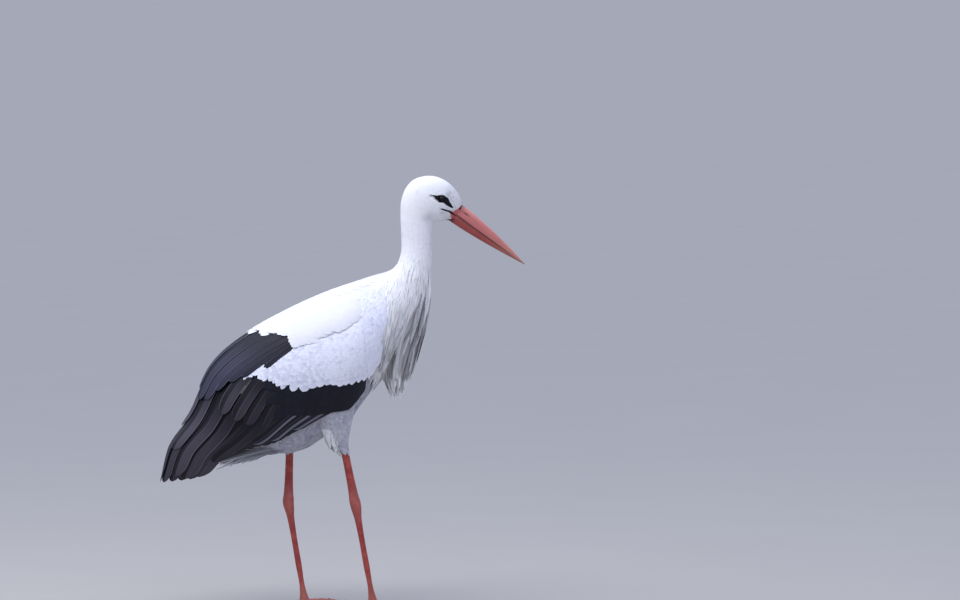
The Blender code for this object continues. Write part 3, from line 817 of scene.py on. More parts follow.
def skin_thigh(side):
    """A thigh's form sunk by its coat's depth."""
    u, sides = linspace(0.05, 4, 26)[:, None], 36
    point, normal, _, _ = thigh_form(side).measured(u, np.arange(sides)[None] * TAU / sides)
    return tube(f"thigh_core_{side}", point - normal * thigh_depth(u)[..., None], "skin")


def skin_wing(sign):
    """The folded arm: a flat wall inside the cloak."""
    u, v = linspace(3.2, 7.8, 30)[:, None], linspace(0.14, 0.93, 22)[None]
    point, normal, _, _ = cloak_form(sign).measured(u, v)
    outer, inner = point - normal * WING_DEPTH, point - normal * (WING_DEPTH + WING_WALL)
    return tube("wing_core", np.concatenate((outer, inner[:, ::-1]), axis=1), "skin")


def make_skin():
    """One closed skin: body, thighs and folded arms joined by Boolean unions."""
    obj = skin_body()
    others = [skin_thigh(side) for side, _ in SIDES] + [skin_wing(sign) for _, sign in SIDES]
    for other in others:
        union = obj.modifiers.new(other.name, "BOOLEAN")
        union.operation, union.solver, union.object = "UNION", "EXACT", other
    graph = bpy.context.evaluated_depsgraph_get()
    mesh = bpy.data.meshes.new_from_object(obj.evaluated_get(graph))
    obj.modifiers.clear()
    obj.data = mesh
    for other in others:
        bpy.data.objects.remove(other)
    mesh.materials.clear()
    mesh.materials.append(MATERIALS["skin"])
    mesh.polygons.foreach_set("material_index", np.zeros(len(mesh.polygons), np.int32))
    mesh.polygons.foreach_set("use_smooth", np.ones(len(mesh.polygons), bool))
    placed(obj, "white_feather", "head", "neck_upper", "neck_lower", "trunk", "thigh_left", "thigh_right")


# ---- coat ----
def soft_shade(u, v):
    """Painted shade on the head and throat, as a sum of round blots in the side view."""
    x, _, z = np.moveaxis(BODY(u, v) - SHIFT, -1, 0)
    blots = (depth * bell(x, at_x, wide) * bell(z, at_z, tall) for at_x, at_z, wide, tall, depth in SHADES)
    return sum(blots)


def make_head_coat():
    """Very short, smooth tufts that lie back from the bill, smallest on the face."""
    rng = np.random.default_rng(11)
    reach, midline, nape = 0.35, 0.25, 2.5  # ribs behind a root; the marks don't cross the top of the head

    def keep(u, v):
        off = np.minimum(bare_face(BODY(u, v)), bare_face(BODY(u - reach, v)))
        return (np.abs(sin(v)) < midline) & (v < nape) | (off > 0.0002)

    u, v = lattice(BODY, (13.0, 22.9), (0, TAU), 0.0025, 0.0024, rng, keep)
    size = interp(u, (13, 17, 20.5, 23), (1.45, 1.15, 0.75, 0.5))
    # tone: a random difference between feathers less the painted shade of SHADES
    plumage(
        "coat_head", BODY, u, v, 0.0082 * size * rng.uniform(0.85, 1.15, len(u)), 0.0038 * size,
        pi + rng.normal(0, 0.08, len(u)), "fine white tuft", steps=4, sink=coat_depth(u),
        rise=coat_depth(u) * 0.95, lift=0.00012, thick=0.0001, camber=0.05,
        tone=rng.random(len(u)) - soft_shade(u, v),
    )


def make_neck_coat():
    """Short close feathers all round the neck, a little longer towards its base."""
    rng = np.random.default_rng(21)
    u, v = lattice(BODY, (6.4, 13.4), (0, TAU), 0.0044, 0.0039, rng, fill=1.6)
    low = interp(u, (7, 12), (1.0, 0.0))
    # tone: a random difference between feathers less the painted shade of SHADES
    plumage(
        "coat_neck", BODY, u, v, (0.0168 + 0.009 * low) * rng.uniform(0.85, 1.2, len(u)),
        0.0063 + 0.0036 * low, pi + rng.normal(0, 0.06, len(u)), "neck tuft", steps=4, sink=coat_depth(u),
        rise=coat_depth(u), lift=0.0002, thick=0.00014, camber=0.06, roll=rng.normal(0, 0.03, len(u)),
        tone=rng.random(len(u)) - soft_shade(u, v),
    )


def make_breast_coat():
    """Narrow pointed plumes over lower neck and breast, which turn from the body's line to hang straight."""
    rng = np.random.default_rng(25)
    round_front = 2.05
    u, v = lattice(BODY, (6.1, 11.4), (pi - round_front, pi + round_front), 0.0066, 0.0066, rng)
    low = interp(u, (7, 10.6), (1.0, 0.0))
    loose = interp(u, (8.8, 11.2), (1.0, 0.0))
    depth = coat_depth(u) * (1 - 0.5 * loose)
    side = sin(v)
    # painted shade on the plumes of the lower neck, deepest at their base by the ruff and less on the sides
    plume_shade = interp(u, (6.1, 7.0, 8.0, 9.6, 11.0), (0.9, 0.8, 0.4, 0.05, -0.3))
    plume_shade = plume_shade - 0.9 * clip(np.abs(side) * 2.5 - 0.9, 0, 1) * interp(u, (6.8, 7.8), (1, 0))
    plumage(
        "coat_breast", BODY, u, v, (0.026 + 0.03 * low) * rng.uniform(0.75, 1.15, len(u)),
        0.0066 + 0.003 * low, pi - 0.42 * low * side + rng.normal(0, 0.05, len(u)), "breast plume", steps=7,
        shape=lance_shape, sink=depth, rise=depth + 0.0012 * loose + 0.0016 * low,
        lift=0.0002 + 0.001 * loose, thick=0.0003, camber=0.12,
        roll=rng.normal(0, 0.13, len(u)) * (0.3 + 0.7 * loose),
        tone=rng.random(len(u)) * 1.1 - plume_shade + 0.25,
    )


def make_body_coat():
    """Broad contour feathers of mantle, breast, belly and undertail, with painted shade below."""
    rng = np.random.default_rng(31)
    shoulder, free = 6.0, 1.8  # the rib where the wings start, and the half angle that they leave free

    def keep(u, v):
        return (u > shoulder) | (np.abs(v - pi) < free)

    u, v = lattice(BODY, (-0.15, 7.2), (0, TAU), 0.0078, 0.0085, rng, keep)
    size = interp(u, (0, 2, 6, 7.2), (1.15, 1.1, 0.9, 0.7))
    # low: painted shade on the underside, belly, flanks and undertail, fading toward the breast and the
    # tail's end
    low = interp(-cos(v), (-0.5, 0.1), (0, 1)) * interp(u, (0.3, 1.2, 6.2, 7.4), (0.2, 1, 1, 0.3))
    plumage(
        "coat_body", BODY, u, v, 0.034 * size * rng.uniform(0.85, 1.2, len(u)), 0.018 * size,
        pi + rng.normal(0, 0.12, len(u)), "body vane", sink=coat_depth(u), rise=coat_depth(u), lift=0.0004,
        roll=rng.normal(0, 0.03, len(u)), tone=rng.random(len(u)) * 1.4 - 3.9 * low,
    )


def make_mantle():
    """White feathers over the crest of the back, from one wing to the other, which end in ragged lobes."""
    rng = np.random.default_rng(35)
    spread, clear = 0.3, 0.12  # half the stretch across, and how far the rows stay from the lobes

    def keep(u, v):
        return u > border(WHITE_END, np.abs(v) ** (1 / FULLNESS)) + clear

    u, v = lattice(BACK, (4.0, 8.6), (-spread, spread), 0.008, 0.0085, rng, keep)
    share = np.array((0.0, 0.016, 0.034, 0.062, 0.086, 0.11))
    edge_u, edge_v = border(WHITE_END, share), share**FULLNESS
    u = np.concatenate((edge_u, edge_u[1:], u))
    v = np.concatenate((edge_v, -edge_v[1:], v))
    inner = np.arange(len(u)) >= 2 * len(share) - 1
    lie = pi + rng.normal(0, 0.05, len(u)) * inner
    length = 0.04 * rng.uniform(0.9, 1.1, len(u))
    fall = interp(u, (7.4, 8.4), (0.0, 0.002)) + interp(np.abs(v), (0.18, 0.3), (0.0, 0.0026)) * inner
    # tone: a random difference between feathers, with painted shade that grows toward the front of the back
    plumage(
        "coat_mantle", BACK, u, v, length, 0.019, lie, "white vane", from_tips=True, steps=7,
        sink=ROOT_DEPTH, rise=0.0072 - fall, lift=0.0004,
        tone=0.35 + 0.5 * rng.random(len(u)) - 1.5 * interp(u, (6.2, 8.2), (0, 1)),
    )


def make_ruff():
    """Long pointed plumes in layers that hang from the throat over the breast, gathered in locks."""
    rng = np.random.default_rng(41)
    count, lock_count, half_turn, throat = 1350, 15, 2.75, 2.4
    pace = 0.0405  # length for each rib
    locks = linspace(-1, 1, lock_count) * half_turn + rng.uniform(-0.06, 0.06, lock_count)
    v = rng.uniform(-1, 1, count) * half_turn
    number = np.abs(v[:, None] - locks[None]).argmin(axis=1)
    aside = clip(np.abs(v - locks[number]) / 0.2, 0, 1)
    ahead = 0.5 - 0.5 * cos(v + pi)
    lowest = 6.75 + 0.85 * sin(pi * clip(ahead * 0.95 + 0.12, 0, 1))
    lowest = lowest + rng.uniform(-0.8, 0.5, lock_count)[number]
    lowest = lowest - 1.1 * aside**2 + rng.uniform(-0.2, 0.15, count)
    reach = throat + (lowest - throat) * rng.beta(1.5, 0.85, count)
    low = interp(reach, (2.4, 4.2), (0, 1))
    v = v + (locks[number] - v) * 0.5 * low
    last = interp(lowest - reach, (0.25, 0.85), (1, 0))  # plumes that make the hanging points
    length = rng.uniform(0.055, 0.105, count) * (1 - 0.35 * last)
    u = clip(reach - length / pace, 0.0, None)
    deep = rng.random(count) * (1 - 0.6 * last) + 0.6 * last
    # tone: a random difference by plume and by lock, with painted shade that deepens lower down and between
    # the locks; the hanging points stay bright
    plumage(
        "coat_ruff", RUFF, u, v + pi, (reach - u) * pace, rng.uniform(0.007, 0.0115, count),
        rng.normal(0, 0.05, count), "breast plume", steps=10, shape=lance_shape, sink=0.012 * deep,
        lift=0.001, thick=0.0003, camber=0.16, roll=rng.normal(0, 0.22, count),
        tone=0.48 + rng.normal(0, 0.28, count) + rng.normal(0, 0.1, lock_count)[number] * low
        - (0.92 + 0.45 * aside) * low + 1.3 * last,
        nodes=("breast_ruff",),
    )


def make_thigh_coat(side):
    """Soft feathers down the thigh, and on the near leg a loose tuft behind the bare shank."""
    rng = np.random.default_rng(51 if side == "left" else 52)
    form = thigh_form(side)
    u, v = lattice(form, (0.2, 3.6), (0, TAU), 0.006, 0.0062, rng)
    low = interp(u, (0, 4), (0, 1))
    behind = clip(-cos(v) * 1.6 - 0.5, 0, 1) * (side == "right")
    loose = interp(u, (1.5, 2.0, 2.9, 3.3), (0, 1, 1, 0)) * behind
    # tone: painted shade over the thigh, which lies under the belly; the loose tuft stays bright
    plumage(
        f"coat_thigh_{side}", form, u, v,
        (0.022 - 0.01 * low + 0.026 * loose) * rng.uniform(0.85, 1.15, len(u)),
        0.012 - 0.006 * low + 0.004 * loose, rng.normal(0, 0.08, len(u)), "body vane", sink=thigh_depth(u),
        rise=0.0045 - 0.002 * low, lift=0.0002 + loose * interp(u, (2.0, 2.9), (0.012, 0.005)), camber=0.05,
        tone=rng.random(len(u)) * 1.4 - 3.3 + 4.0 * clip(loose * 3, 0, 1),
    )


# ---- wings ----
# Borders between groups of the folded wing: the white's end as (share of a rib, rib), others (rib, share).
WHITE_END = (
    (0.0, 4.03), (0.018, 4.06), (0.026, 4.22), (0.04, 4.36), (0.062, 4.3), (0.085, 4.31), (0.098, 4.49),
    (0.128, 4.69), (0.16, 4.7), (0.195, 4.86), (0.253, 4.83), (0.302, 4.9),
)
CREASE = (
    (4.9, 0.305), (5.24, 0.325), (5.59, 0.318), (5.9, 0.305), (6.23, 0.335), (6.59, 0.318), (8.1, 0.31),
)
COVERT_TOP = (
    (3.4, 0.3), (3.81, 0.3), (4.16, 0.31), (4.41, 0.29), (4.9, 0.27), (5.3, 0.29), (5.6, 0.3), (8.1, 0.28),
)
COVERT_LOBES = (  # the tips of the lowest white feathers
    (3.47, 0.33), (3.62, 0.345), (3.75, 0.362), (3.79, 0.405), (3.86, 0.448), (4.00, 0.48), (4.07, 0.515),
    (4.12, 0.555), (4.2, 0.6), (4.43, 0.66), (4.7, 0.705), (4.94, 0.712), (5.18, 0.728), (5.42, 0.733),
    (5.64, 0.75), (5.87, 0.782), (6.13, 0.8), (6.4, 0.836), (6.72, 0.876), (6.98, 0.915), (7.25, 0.99),
    (8.8, 1.0),
)
BAND_END = (
    (3.4, 0.8), (4.0, 0.86), (4.3, 0.89), (4.66, 0.938), (5.09, 0.97), (5.6, 0.985), (5.9, 1.0), (7.0, 1.0),
)


def border(table, at):
    return interp(at, *zip(*table))


def make_shoulder(side, sign):
    """White feathers from the side of the neck over the front of the folded wing, with painted shade, bluer
    to the breast.
    """
    rng = np.random.default_rng(65)
    form = shoulder_form(sign)
    u, v = lattice(form, (0.12, 0.95), (0.04, 0.98), 0.007, 0.007, rng)
    # tone: painted shade on the upper part by the wing, less toward the breast and the neck
    plumage(
        f"coat_shoulder_{side}", form, u, v, 0.026 * rng.uniform(0.85, 1.15, len(u)), 0.013,
        pi - 0.15 - 0.5 * v + rng.normal(0, 0.08, len(u)), "shoulder vane", sink=0.003, rise=0.004,
        lift=0.0004, camber=0.05,
        tone=rng.random(len(u)) * 0.8 - 0.75 + 0.85 * v + 0.8 * interp(u, (0.6, 0.95), (0, 1)),
    )

    def keep(u, v):
        return u > 0.52 - 0.1 * clip(v, 0, 1)

    u, v = lattice(form, (0.4, 1.04), (-0.04, 0.9), 0.008, 0.0078, rng, keep)
    low = clip(v, 0, 1)
    # tone: painted shade that deepens lower down, as on the ruff
    plumage(
        f"coat_shoulder_plumes_{side}", form, u, v, (0.03 + 0.022 * low) * rng.uniform(0.8, 1.2, len(u)),
        0.008, pi / 2 + 0.35 - 0.15 * low + rng.normal(0, 0.06, len(u)), "breast plume", steps=7,
        shape=lance_shape, sink=0.001, rise=0.0032, lift=0.0012, thick=0.0003, camber=0.1,
        roll=rng.normal(0, 0.1, len(u)),
        tone=rng.random(len(u)) * 0.9 + 0.45 - interp(low, (0.15, 0.45, 0.9), (0.0, 0.55, 1.25)),
    )


def make_scapulars(side, sign):
    """White shoulder feathers that drape over the root of the wing and end in ragged tips on the black."""
    rng = np.random.default_rng(61)
    form = cloak_form(sign)

    def keep(u, v):
        return (u > border(WHITE_END, v)) & (v < border(CREASE, u))

    u, v = lattice(form, (3.9, 8.2), (0.05, 0.345), 0.0078, 0.0085, rng, keep)
    edge_v = np.array((0.098, 0.122, 0.148, 0.172, 0.198, 0.225, 0.253, 0.28, 0.302))
    edge_u = border(WHITE_END, edge_v) + rng.uniform(-0.03, 0.03, len(edge_v))
    crease_u = np.arange(5.05, 7.2, 0.16)
    crease_v = border(CREASE, crease_u) + rng.uniform(-0.012, 0.008, len(crease_u))
    u, v = np.concatenate((edge_u, crease_u, u)), np.concatenate((edge_v, crease_v, v))
    edge = np.arange(len(u)) < len(edge_v)
    lie = pi - 0.16 + rng.normal(0, 0.06, len(u)) * ~edge
    length = 0.036 * rng.uniform(0.9, 1.1, len(u))
    over = v - border(CREASE, u)
    proud = interp(over, (-0.1, -0.02), (0.3, 1)) * interp(u, (5.3, 5.8, 6.6, 7.4), (0.1, 1, 0.8, 0))
    proud = np.maximum(proud, interp(u, (5.3, 5.6), (0.6, 0)))
    # painted shade, bluish grey, toward the front of the wing and just above the crease
    front_and_crease_shade = interp(u, (5.9, 8.0), (0, 1)) + 0.7 * interp(over, (-0.1, 0), (0, 1))
    plumage(
        f"scapulars_{side}", form, u, v, length, np.where(edge, 0.019, 0.018), lie, "white vane",
        from_tips=True, sink=ROOT_DEPTH, rise=0.0047 + 0.0026 * proud, lift=0.0004 + 0.0006 * edge,
        tone=0.35 + 0.5 * rng.random(len(u)) - 1.6 * front_and_crease_shade, nodes=(f"wing_{side}_scapulars",),
    )


def make_white_coverts(side, sign):
    """Lesser and median coverts, row on row, with a scalloped lower border."""
    rng = np.random.default_rng(71)
    form = cloak_form(sign)

    def keep(u, v):
        bottom = border(COVERT_LOBES, u) - interp(u, (3.9, 4.3), (0.008, 0.032))
        return (v < bottom) & (v > border(COVERT_TOP, u))

    u, v = lattice(form, (3.55, 8.0), (0.28, 1.0), 0.007, 0.007, rng, keep)
    edge_u, edge_v = np.array(COVERT_LOBES[:-2]).T
    u, v = np.append(edge_u, u), np.append(edge_v, v)
    edge = np.arange(len(u)) < len(edge_u)
    lie = pi - interp(u, (3.4, 4.2, 5.0, 8.0), (0.15, 0.6, 0.95, 1.1))
    lie = lie + rng.normal(0, 0.06, len(u)) * ~edge
    length = np.where(edge, 0.03, 0.022 * rng.uniform(0.9, 1.1, len(u)))
    lobe = interp(u, (3.5, 3.7, 4.1, 4.4, 5.5, 6.0), (0.007, 0.01, 0.012, 0.0215, 0.0225, 0.029))
    width = np.where(edge, lobe * rng.uniform(0.8, 1.2, len(u)), 0.0145)
    gap = v - border(CREASE, u)
    # painted shadow of the scapulars' lower edge on the coverts just below the crease
    crease_shadow = clip(1 - np.abs(gap - 0.012) / 0.03, 0, 1) * interp(u, (5.2, 5.8, 6.6, 7.1), (0, 1, 0.8, 0))
    plumage(
        f"white_coverts_{side}", form, u, v, length, width, lie, "white covert", from_tips=True, sink=0.004,
        rise=0.0046, lift=0.0003, thick=0.00025, camber=0.05,
        tone=rng.random(len(u)) - 3.0 * crease_shadow - interp(u, (4.6, 6.2), (0.4, 0.0)),
        nodes=(f"wing_{side}_coverts",),
    )


def make_black_coverts(side, sign):
    """The glossy black band of greater coverts below the white."""
    rng = np.random.default_rng(81)
    form = cloak_form(sign)
    tips = []
    for share in (0.02, 0.35, 0.68, 1.0):
        u = np.arange(3.55, 6.8, 0.115) + 0.05 * share
        top, end = border(COVERT_LOBES, u), border(BAND_END, u)
        tips.append(np.column_stack((u, top + (end - top) * share, np.full(len(u), share))))
    u, v, share = np.vstack(tips).T
    lie = pi - interp(u, (3.5, 4.5, 6.2, 6.9), (0.95, 0.8, 0.8, 1.2)) + rng.normal(0, 0.02, len(u))
    length = 0.048 * rng.uniform(0.95, 1.05, len(u))
    plumage(
        f"black_coverts_{side}", form, u, v, length, 0.02, lie, "black covert", from_tips=True, steps=12,
        tip=0.2, sink=0.003 + 0.001 * share, rise=0.0024,
        thick=0.0003, roll=-0.04, tone=np.random.default_rng(82).random(len(u)), slot="black_feather",
    )


# Rows of long feathers, those on top first: single feathers as root (rib, share) and tip (rib, share), then
# how many, first and last width, height and tone, finish, seed, scatter, roll, rounded share of the tip.
FLIGHT_ROWS = {
    "long_scapulars": ((
        (4.35, 0.008, 2.52, 0.005), (4.6, 0.07, 2.31, 0.055), (4.85, 0.13, 2.42, 0.13),
        (4.98, 0.19, 2.76, 0.19), (5.02, 0.235, 3.12, 0.23), (5.02, 0.258, 3.44, 0.281),
        (5.0, 0.272, 4.08, 0.337),
    ), 7, (0.036, 0.021), (0.0014, 0.0006), (0.9, -0.15), "scapular vane", 91, 0.03, -0.04, 0.13),
    "short_tertials": (
        ((4.0, 0.28, 2.45, 0.4), (4.2, 0.38, 2.62, 0.56), (4.4, 0.47, 2.78, 0.7), (4.6, 0.55, 3.05, 0.83)),
        4, (0.03, 0.028), (-0.0006, -0.003), (0.85, 0.08), "flight vane", 92, 0.05, -0.09, 0.24),
    "tertials": (
        ((3.75, 0.02, 1.6, 0.012), (3.6, 0.13, 0.92, 0.14), (3.5, 0.29, 0.12, 0.35),
         (3.4, 0.42, 0.02, 0.62)),
        4, (0.036, 0.038), (-0.0014, -0.0048), (1.0, 0.75), "flight vane", 93, 0.02, -0.09, 0.15),
    "fringed_secondaries": (
        ((5.2, 0.795, 2.35, 0.945), (5.6, 0.86, 3.05, 0.975), (6.0, 0.905, 3.9, 0.99)),
        3, (0.021, 0.021), (-0.0022, -0.0038), (0.25, 0.25), "fringed vane", 96, 0.0, -0.05, 0.12),
    "secondaries": (
        ((4.0, 0.7, 0.9, 0.93), (4.7, 0.78, 1.7, 0.965), (5.6, 0.86, 2.9, 0.985), (6.4, 0.92, 3.9, 0.995)),
        12, (0.028, 0.028), (-0.0032, -0.006), (0.2, 0.12), "flight vane", 94, 0.06, -0.04, 0.12),
    "primaries": ((
        (3.0, 0.05, -0.08, 0.008), (3.1, 0.18, -0.11, 0.11), (3.2, 0.34, -0.06, 0.32),
        (3.3, 0.5, -0.04, 0.56), (3.4, 0.64, -0.01, 0.78), (3.5, 0.77, 0.07, 0.95),
    ), 6, (0.03, 0.032), (-0.0044, -0.008), (0.5, 0.8), "flight vane", 95, 0.02, -0.1, 0.12),
}


def flight_row(name, sign, nodes, knots, count, widths, heights, tones, finish, seed, scatter, roll, tip):
    """A fan of long feathers, evenly spread through given ones, each a little below the one before."""
    rng = np.random.default_rng(seed)
    form = cloak_form(sign)
    u, v, tip_u, tip_v = through(knots, linspace(0, len(knots) - 1, count)).T
    tip_u = tip_u + rng.uniform(-1, 1, count) * scatter
    tip_v = tip_v + rng.uniform(-0.15, 0.15, count) * scatter * (np.abs(tip_v - 0.5) < 0.4)
    speed_u, speed_v = form.speeds(u, v)
    ahead, down = (tip_u - u) * speed_u, (tip_v - v) * speed_v
    share = linspace(0, 1, count)
    width = interp(share, (0, 1), widths) * rng.uniform(0.94, 1.06, count)
    plumage(
        name, form, u, v, hypot(ahead, down), width, np.arctan2(down, ahead), finish, steps=36,
        tip=tip, sink=ROOT_DEPTH, rise=ROOT_DEPTH, settle=14,
        layer=linspace(*heights, count), thick=0.0004, camber=0.05, roll=roll * rng.uniform(0.6, 1.5, count),
        tone=clip(interp(share, (0, 1), tones) + rng.normal(0, 0.12, count), 0, 1), slot="black_feather",
        nodes=nodes,
    )


def make_flight(side, sign):
    """Long scapulars over tertials over secondaries over primaries, each row lying on the next."""
    for name, row in FLIGHT_ROWS.items():
        nodes = (f"wing_{side}_{name}",) if name in ("tertials", "secondaries", "primaries") else ()
        flight_row(f"{name}_{side}", sign, nodes, *row)


# ---- tail ----
def make_tail():
    """Twelve white tail feathers in a shallow closed fan, and loose feathers under it."""
    low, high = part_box("tail")
    length = high[0] - low[0]
    edge, inset, drop = 0.008, 0.012, 0.008  # from the box's side, from its top and foot, to the loose ones
    half = (high[1] - low[1]) / 2 - edge

    def fan(u, v):
        z = high[2] - inset + (low[2] + inset - high[2] + inset) * u - 0.004 * v**2
        return np.stack((high[0] - length * u, half * v * (0.75 + 0.25 * u), z), axis=-1)

    rng = np.random.default_rng(102)
    count, below = 120, Form(lambda u, v: fan(u, v) - np.array((0.0, 0.0, drop)))
    v = rng.uniform(-0.95, 0.95, count)
    u = np.concatenate((rng.uniform(-0.6, 0.45, 100), rng.uniform(0.3, 0.62, 20)))
    plumage(
        "coat_undertail", below, u, v, rng.uniform(0.03, 0.048, count), rng.uniform(0.01, 0.017, count),
        rng.normal(0, 0.15, count), "white vane", sink=rng.uniform(0, 0.006, count), rise=0.004, lift=0.001,
        droop=rng.uniform(0, 0.006, count), thick=0.00025, camber=0.06, tone=rng.random(count) + 0.3,
    )
    v = linspace(-0.86, 0.86, 12)
    reach = length * (1.22 - 0.05 * np.abs(v)) * 1.1
    plumage(
        "tail_feathers", Form(fan, -1), np.full(12, -0.25), v, reach, 0.021, 0.02 * v, "white vane",
        steps=20, tip=0.1, layer=0.0022 * (1 - np.abs(v)), thick=0.0005,
        camber=0.08, tone=np.random.default_rng(101).random(12), nodes=("tail",),
    )


# ---- bill, eyes ----
def bill_half(name, finish, upper):
    """Half a bill: D-shaped rings along its line, with a groove behind the nostril and a sharp mouth edge.

    At a share s of the line and an angle a from 0 to pi a point is half cos(a)^0.92 out, and sin(a)^0.8 of
    the way from the mouth to the top, which is off the middle by half of a depth that falls as 1 - s^taper.
    """
    blunt, mouth_gap, upper_taper, lower_taper = 0.0016, 0.00025, 1.75, 1.4
    sign = 1 if upper else -1
    line = BILL_TIP - BILL_BASE
    length = np.linalg.norm(line)
    line = line / length
    up = np.array((-line[2], 0.0, line[0]))
    share = np.concatenate((linspace(-0.09, 0.9, 90), linspace(0.905, 1.0, 16)))[:, None]
    inside = clip(share, 0, 1)
    angle = linspace(0, pi, 31)[None]
    depth = BILL_DEPTH * (1 - inside ** (upper_taper if upper else lower_taper)) + blunt
    half = (BILL_HALF * (1 - inside**1.3) + 0.001) * (1 - 0.4 * clip((0.03 - share) / 0.09, 0, 1))
    start = (BILL_DEPTH * (1 - inside**upper_taper) + blunt) * (BILL_MOUTH - 0.5) + sign * mouth_gap
    rise = start + (sign * depth / 2 - start) * sin(angle) ** 0.8
    along = length * share
    if upper:
        slit = hypot((along - 0.015) / 0.0066, (rise - 0.0104) / 0.0012)
        groove = bell(rise, 0.0098 * (1 - share * 1.1), 0.0016) * clip(1 - share / 0.6, 0, 1)
        relief = -0.0011 * exp(-(slit**2)) - 0.00045 * groove
        dark = 1.1 * exp(-(slit**2.2)) + 0.45 * bell(along, 0.001, 0.005) * (rise > 0.004)
    else:
        relief = -0.0003 * bell(rise, depth * -0.3, 0.0014) * clip(1 - share, 0, 1)
        dark = 0.8 * bell(along, 0, 0.0045) * (rise < -0.011)
    relief = relief + 0.0003 * bell(rise, start, 0.0012)
    dark = dark + 0.75 * bell(rise, start, 0.0007)
    facing_side, reach = np.sign(cos(angle)), np.abs(cos(angle))
    across = half * facing_side * reach**0.92 + relief * facing_side * (reach > 0.05)
    flat = half * linspace(1, -1, 9)[None, 1:-1]  # the mouth's flat side
    across = np.concatenate((across, flat), axis=1)
    rise = np.concatenate((rise, np.broadcast_to(start, flat.shape)), axis=1)
    middle = BILL_BASE + SHIFT + line * along[..., None]
    rings = middle + up * rise[..., None] + np.array((0.0, 1.0, 0.0)) * across[..., None]
    obj = tube(f"{name}_horn", rings, finish)
    add_value(obj, "dark", np.pad(dark, ((0, 0), (0, flat.shape[1]))))
    add_uv(obj, "horn", inside, rise / BILL_DEPTH + 0.5)
    placed(obj, "bill", name)


def unit(vector):
    return vector / np.linalg.norm(vector)


def make_eye(side, sign):
    """An eyeball with a slightly raised cornea, turned a little forward."""
    radius, out, rows, sides = 0.0073, 0.0183, 40, 48
    centre = np.array((EYE[0], sign * out, EYE[1]))
    polar = linspace(0.02, pi - 0.02, rows)[:, None]
    turn = (np.arange(sides) * TAU / sides)[None]
    swell = radius * (1 + 0.05 * bell(polar, 0, 0.5))
    look = unit(np.array((0.1, sign * 1.0, 0.02)))
    aside = unit(np.cross(look, (0, 0, 1.0)))
    ring = cos(turn)[..., None] * aside + sin(turn)[..., None] * np.cross(aside, look)
    rings = centre + swell[..., None] * (cos(polar)[..., None] * look + sin(polar)[..., None] * ring)
    obj = tube(f"eyeball_{side}", rings, "eye")
    add_value(obj, "radial", np.broadcast_to(sin(polar), (rows, sides)) + (polar > pi / 2))
    placed(obj, "eye", f"eye_{side}")


# ---- legs and feet ----
# Foot, ankle and knee as x, y, z, and the turn of the foot in degrees.
LEGS = {
    "right": ((0.063, -0.026, 0.0), (0.027, -0.029, 0.202), (0.0065, -0.031, 0.3052), -6.0),
    "left": ((-0.075, 0.008, 0.0), (-0.109, 0.021, 0.201), (-0.1066, 0.034, 0.3022), 7.0),
}
# Turn outwards in degrees, length and half width of each toe.
TOES = {
    "middle": (0.0, 0.08, 0.0062), "outer": (38.0, 0.066, 0.0056),
    "inner": (-36.0, 0.058, 0.0056), "hind": (176.0, 0.032, 0.0048),
}
TOE_START, CLAW_LENGTH, CLAW_LAP = 0.004, 0.0085, 0.001


def make_leg(side):
    """Shank, knobbed ankle and tarsus as one tube: middle and radius follow the height.

    The middle goes straight from the foot to the ankle, to the knee and to the middle of the thigh's end.
    """
    points = np.array((*LEGS[side][:3], THIGHS[side][3, :3]))
    ankle, knee, sides = LEGS[side][1][2], LEGS[side][2][2], 28
    height = np.concatenate((
        linspace(0.0, 0.012, 7), linspace(0.016, ankle - 0.03, 40),
        linspace(ankle - 0.028, ankle + 0.028, 30), linspace(ankle + 0.03, knee + 0.012, 24),
    ))
    levels = (
        0, 0.004, 0.01, 0.022, 0.08, ankle - 0.05, ankle - 0.024, ankle - 0.006, ankle + 0.006,
        ankle + 0.018, ankle + 0.045, knee,
    )
    radii = (0.01, 0.0112, 0.0092, 0.0068, 0.0063, 0.0066, 0.0082, 0.0112, 0.0117, 0.0103, 0.0088, 0.008)
    angle = np.arange(sides) * TAU / sides
    flute = 1 - 0.05 * cos(2 * angle)[None] * clip((height - 0.02) / 0.03, 0, 1)[:, None]
    middle = np.stack([interp(height, points[:, 2], points[:, axis]) for axis in range(3)], axis=-1) + SHIFT
    ring = np.stack((cos(angle), 0.88 * sin(angle), np.zeros(sides)), axis=-1)
    rings = middle[:, None] + ring[None] * (through(radii, height, levels) * flute)[..., None]
    rings[:, :, 2] = height[:, None]
    placed(tube(f"leg_{side}", rings, "leg scales"), "leg_skin", f"shank_{side}", f"tarsus_{side}")


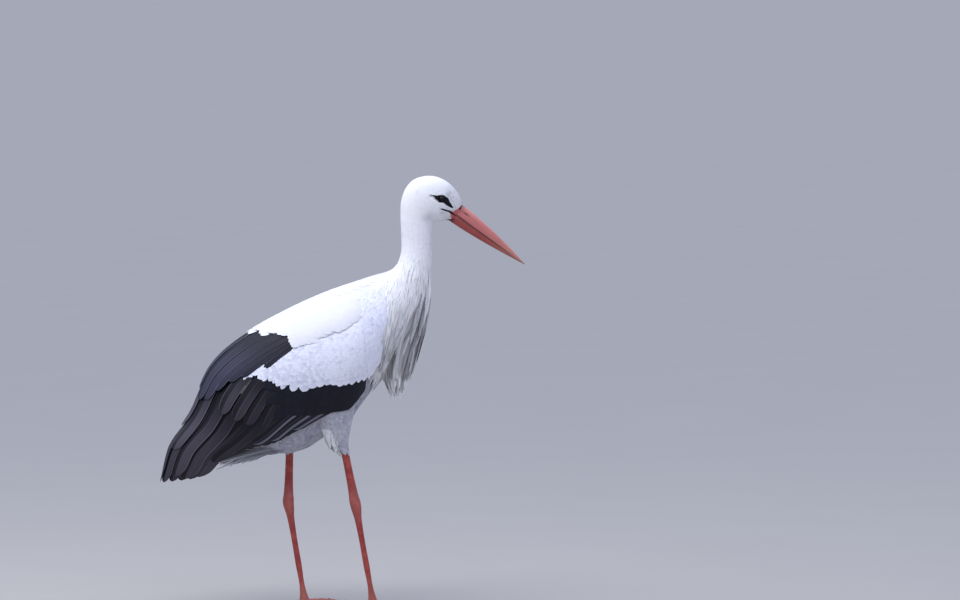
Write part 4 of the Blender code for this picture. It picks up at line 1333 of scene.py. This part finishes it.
def make_foot(side, sign):
    """Toes with soft pads and knuckles, flat below, and their blunt claws."""
    foot = np.array(LEGS[side][0][:2]) + SHIFT[:2]
    toes, claws = [], []
    angle = linspace(0, pi, 15)[None]
    arch = sin(angle) ** 0.8
    for toe, (turned, length, half) in TOES.items():
        turn = radians(LEGS[side][3] + sign * turned)
        heading, aside = np.array((cos(turn), sin(turn))), np.array((-sin(turn), cos(turn)))

        def half_round(name, ahead, across, rise, finish):
            flat = foot + heading * ahead[..., None] + aside * across[..., None]
            return tube(name, np.concatenate((flat, rise[..., None]), axis=-1), finish)

        share = linspace(0, 1, 40)[:, None]
        swell = (1 - 0.34 * share) * (1 + 0.1 * cos(share * 6 * pi)) * sqrt(clip(1 - share**14, 0.12, 1))
        scutes = 1 + 0.025 * np.abs(sin(share * length / 0.0035 * pi)) * sin(angle) ** 2
        ahead = TOE_START + (length - TOE_START) * share
        across, rise = half * swell * cos(angle) * 0.97, 1.5 * half * swell * arch * scutes
        toes.append(half_round(f"toe_{toe}", ahead, across, rise, "leg scales"))
        share = linspace(0, 1, 14)[:, None]
        size = half * 0.6 * sqrt(clip(1 - share**2, 0.03, 1))
        ahead = length - CLAW_LAP + CLAW_LENGTH * share
        claws.append(half_round(f"claw_{toe}", ahead, size * cos(angle), 1.55 * size * arch, "claw horn"))
    for kind, parts, slot in (("toe", toes, "leg_skin"), ("claw", claws, "claw")):
        placed(joined(f"{kind}s_{side}", parts), slot, *(f"{kind}_{side}_{toe}" for toe in TOES))


# ---- studio ----
def make_studio():
    """Pale floor, a broad soft light above, a weaker one from the front, and a surround, dim below the
    horizon, that brightens upward.
    """
    half, aim = 220.0, np.array((0.0, 0.0, 0.5))
    corners = [(-half, -half, 0), (half, -half, 0), (half, half, 0), (-half, half, 0)]
    floor = face_mesh("floor", corners, [(0, 1, 2, 3)], "floor", smooth=False)
    for name, place, size, energy, colour in (
        ("light_above", (-1.0, -0.7, 2.8), 2.2, 40.0, (1.0, 0.98, 0.95)),
        ("light_front", (1.4, -3.2, 1.8), 2.2, 7.0, (0.86, 0.9, 1.0)),
    ):
        data = bpy.data.lights.new(name, "AREA")
        data.shape, data.size, data.energy, data.color = "SQUARE", size, energy, colour
        lamp = linked(name, data)
        lamp.location = place
        lamp.rotation_euler = facing(aim - np.array(place))
    world = bpy.data.worlds.new("surround")
    bpy.context.scene.world = world
    world.use_nodes = True
    tree = world.node_tree
    height = make_node(tree, "ShaderNodeTexCoord").parts()[2].clamp()
    sky = height.blend((0.095, 0.105, 0.15), (1.38, 1.5, 1.92))
    plug(tree, sky, tree.nodes["Background"].inputs["Color"])


def facing(direction):
    return Vector(direction).to_track_quat("-Z", "Y").to_euler()


def make_camera():
    """A long lens level with the bird's breast, a little above it, looking across at its right side."""
    metres_across = 1.92  # width of the view at the bird
    distance, rise = 12.0, radians(3.2)
    aim = np.array((0.2755, 0.0, 0.61))
    data = bpy.data.cameras.new("camera")
    data.sensor_width = 36.0
    data.lens = data.sensor_width * distance / metres_across
    data.clip_end = 1000.0
    camera = linked("camera", data)
    back = np.array((0.0, -cos(rise), sin(rise))) * distance
    camera.location = aim + back
    camera.rotation_euler = facing(-back)
    bpy.context.scene.camera = camera
    bpy.context.scene.view_settings.view_transform = "Standard"


make_camera()
make_studio()
make_skin()
make_head_coat()
make_neck_coat()
make_breast_coat()
make_body_coat()
make_mantle()
make_ruff()
make_tail()
bill_half("bill_upper", "upper horn", True)
bill_half("bill_lower", "lower horn", False)
for side, sign in SIDES:
    make_thigh_coat(side)
    make_shoulder(side, sign)
    make_scapulars(side, sign)
    make_white_coverts(side, sign)
    make_black_coverts(side, sign)
    make_flight(side, sign)
    make_eye(side, sign)
    make_leg(side)
    make_foot(side, sign)
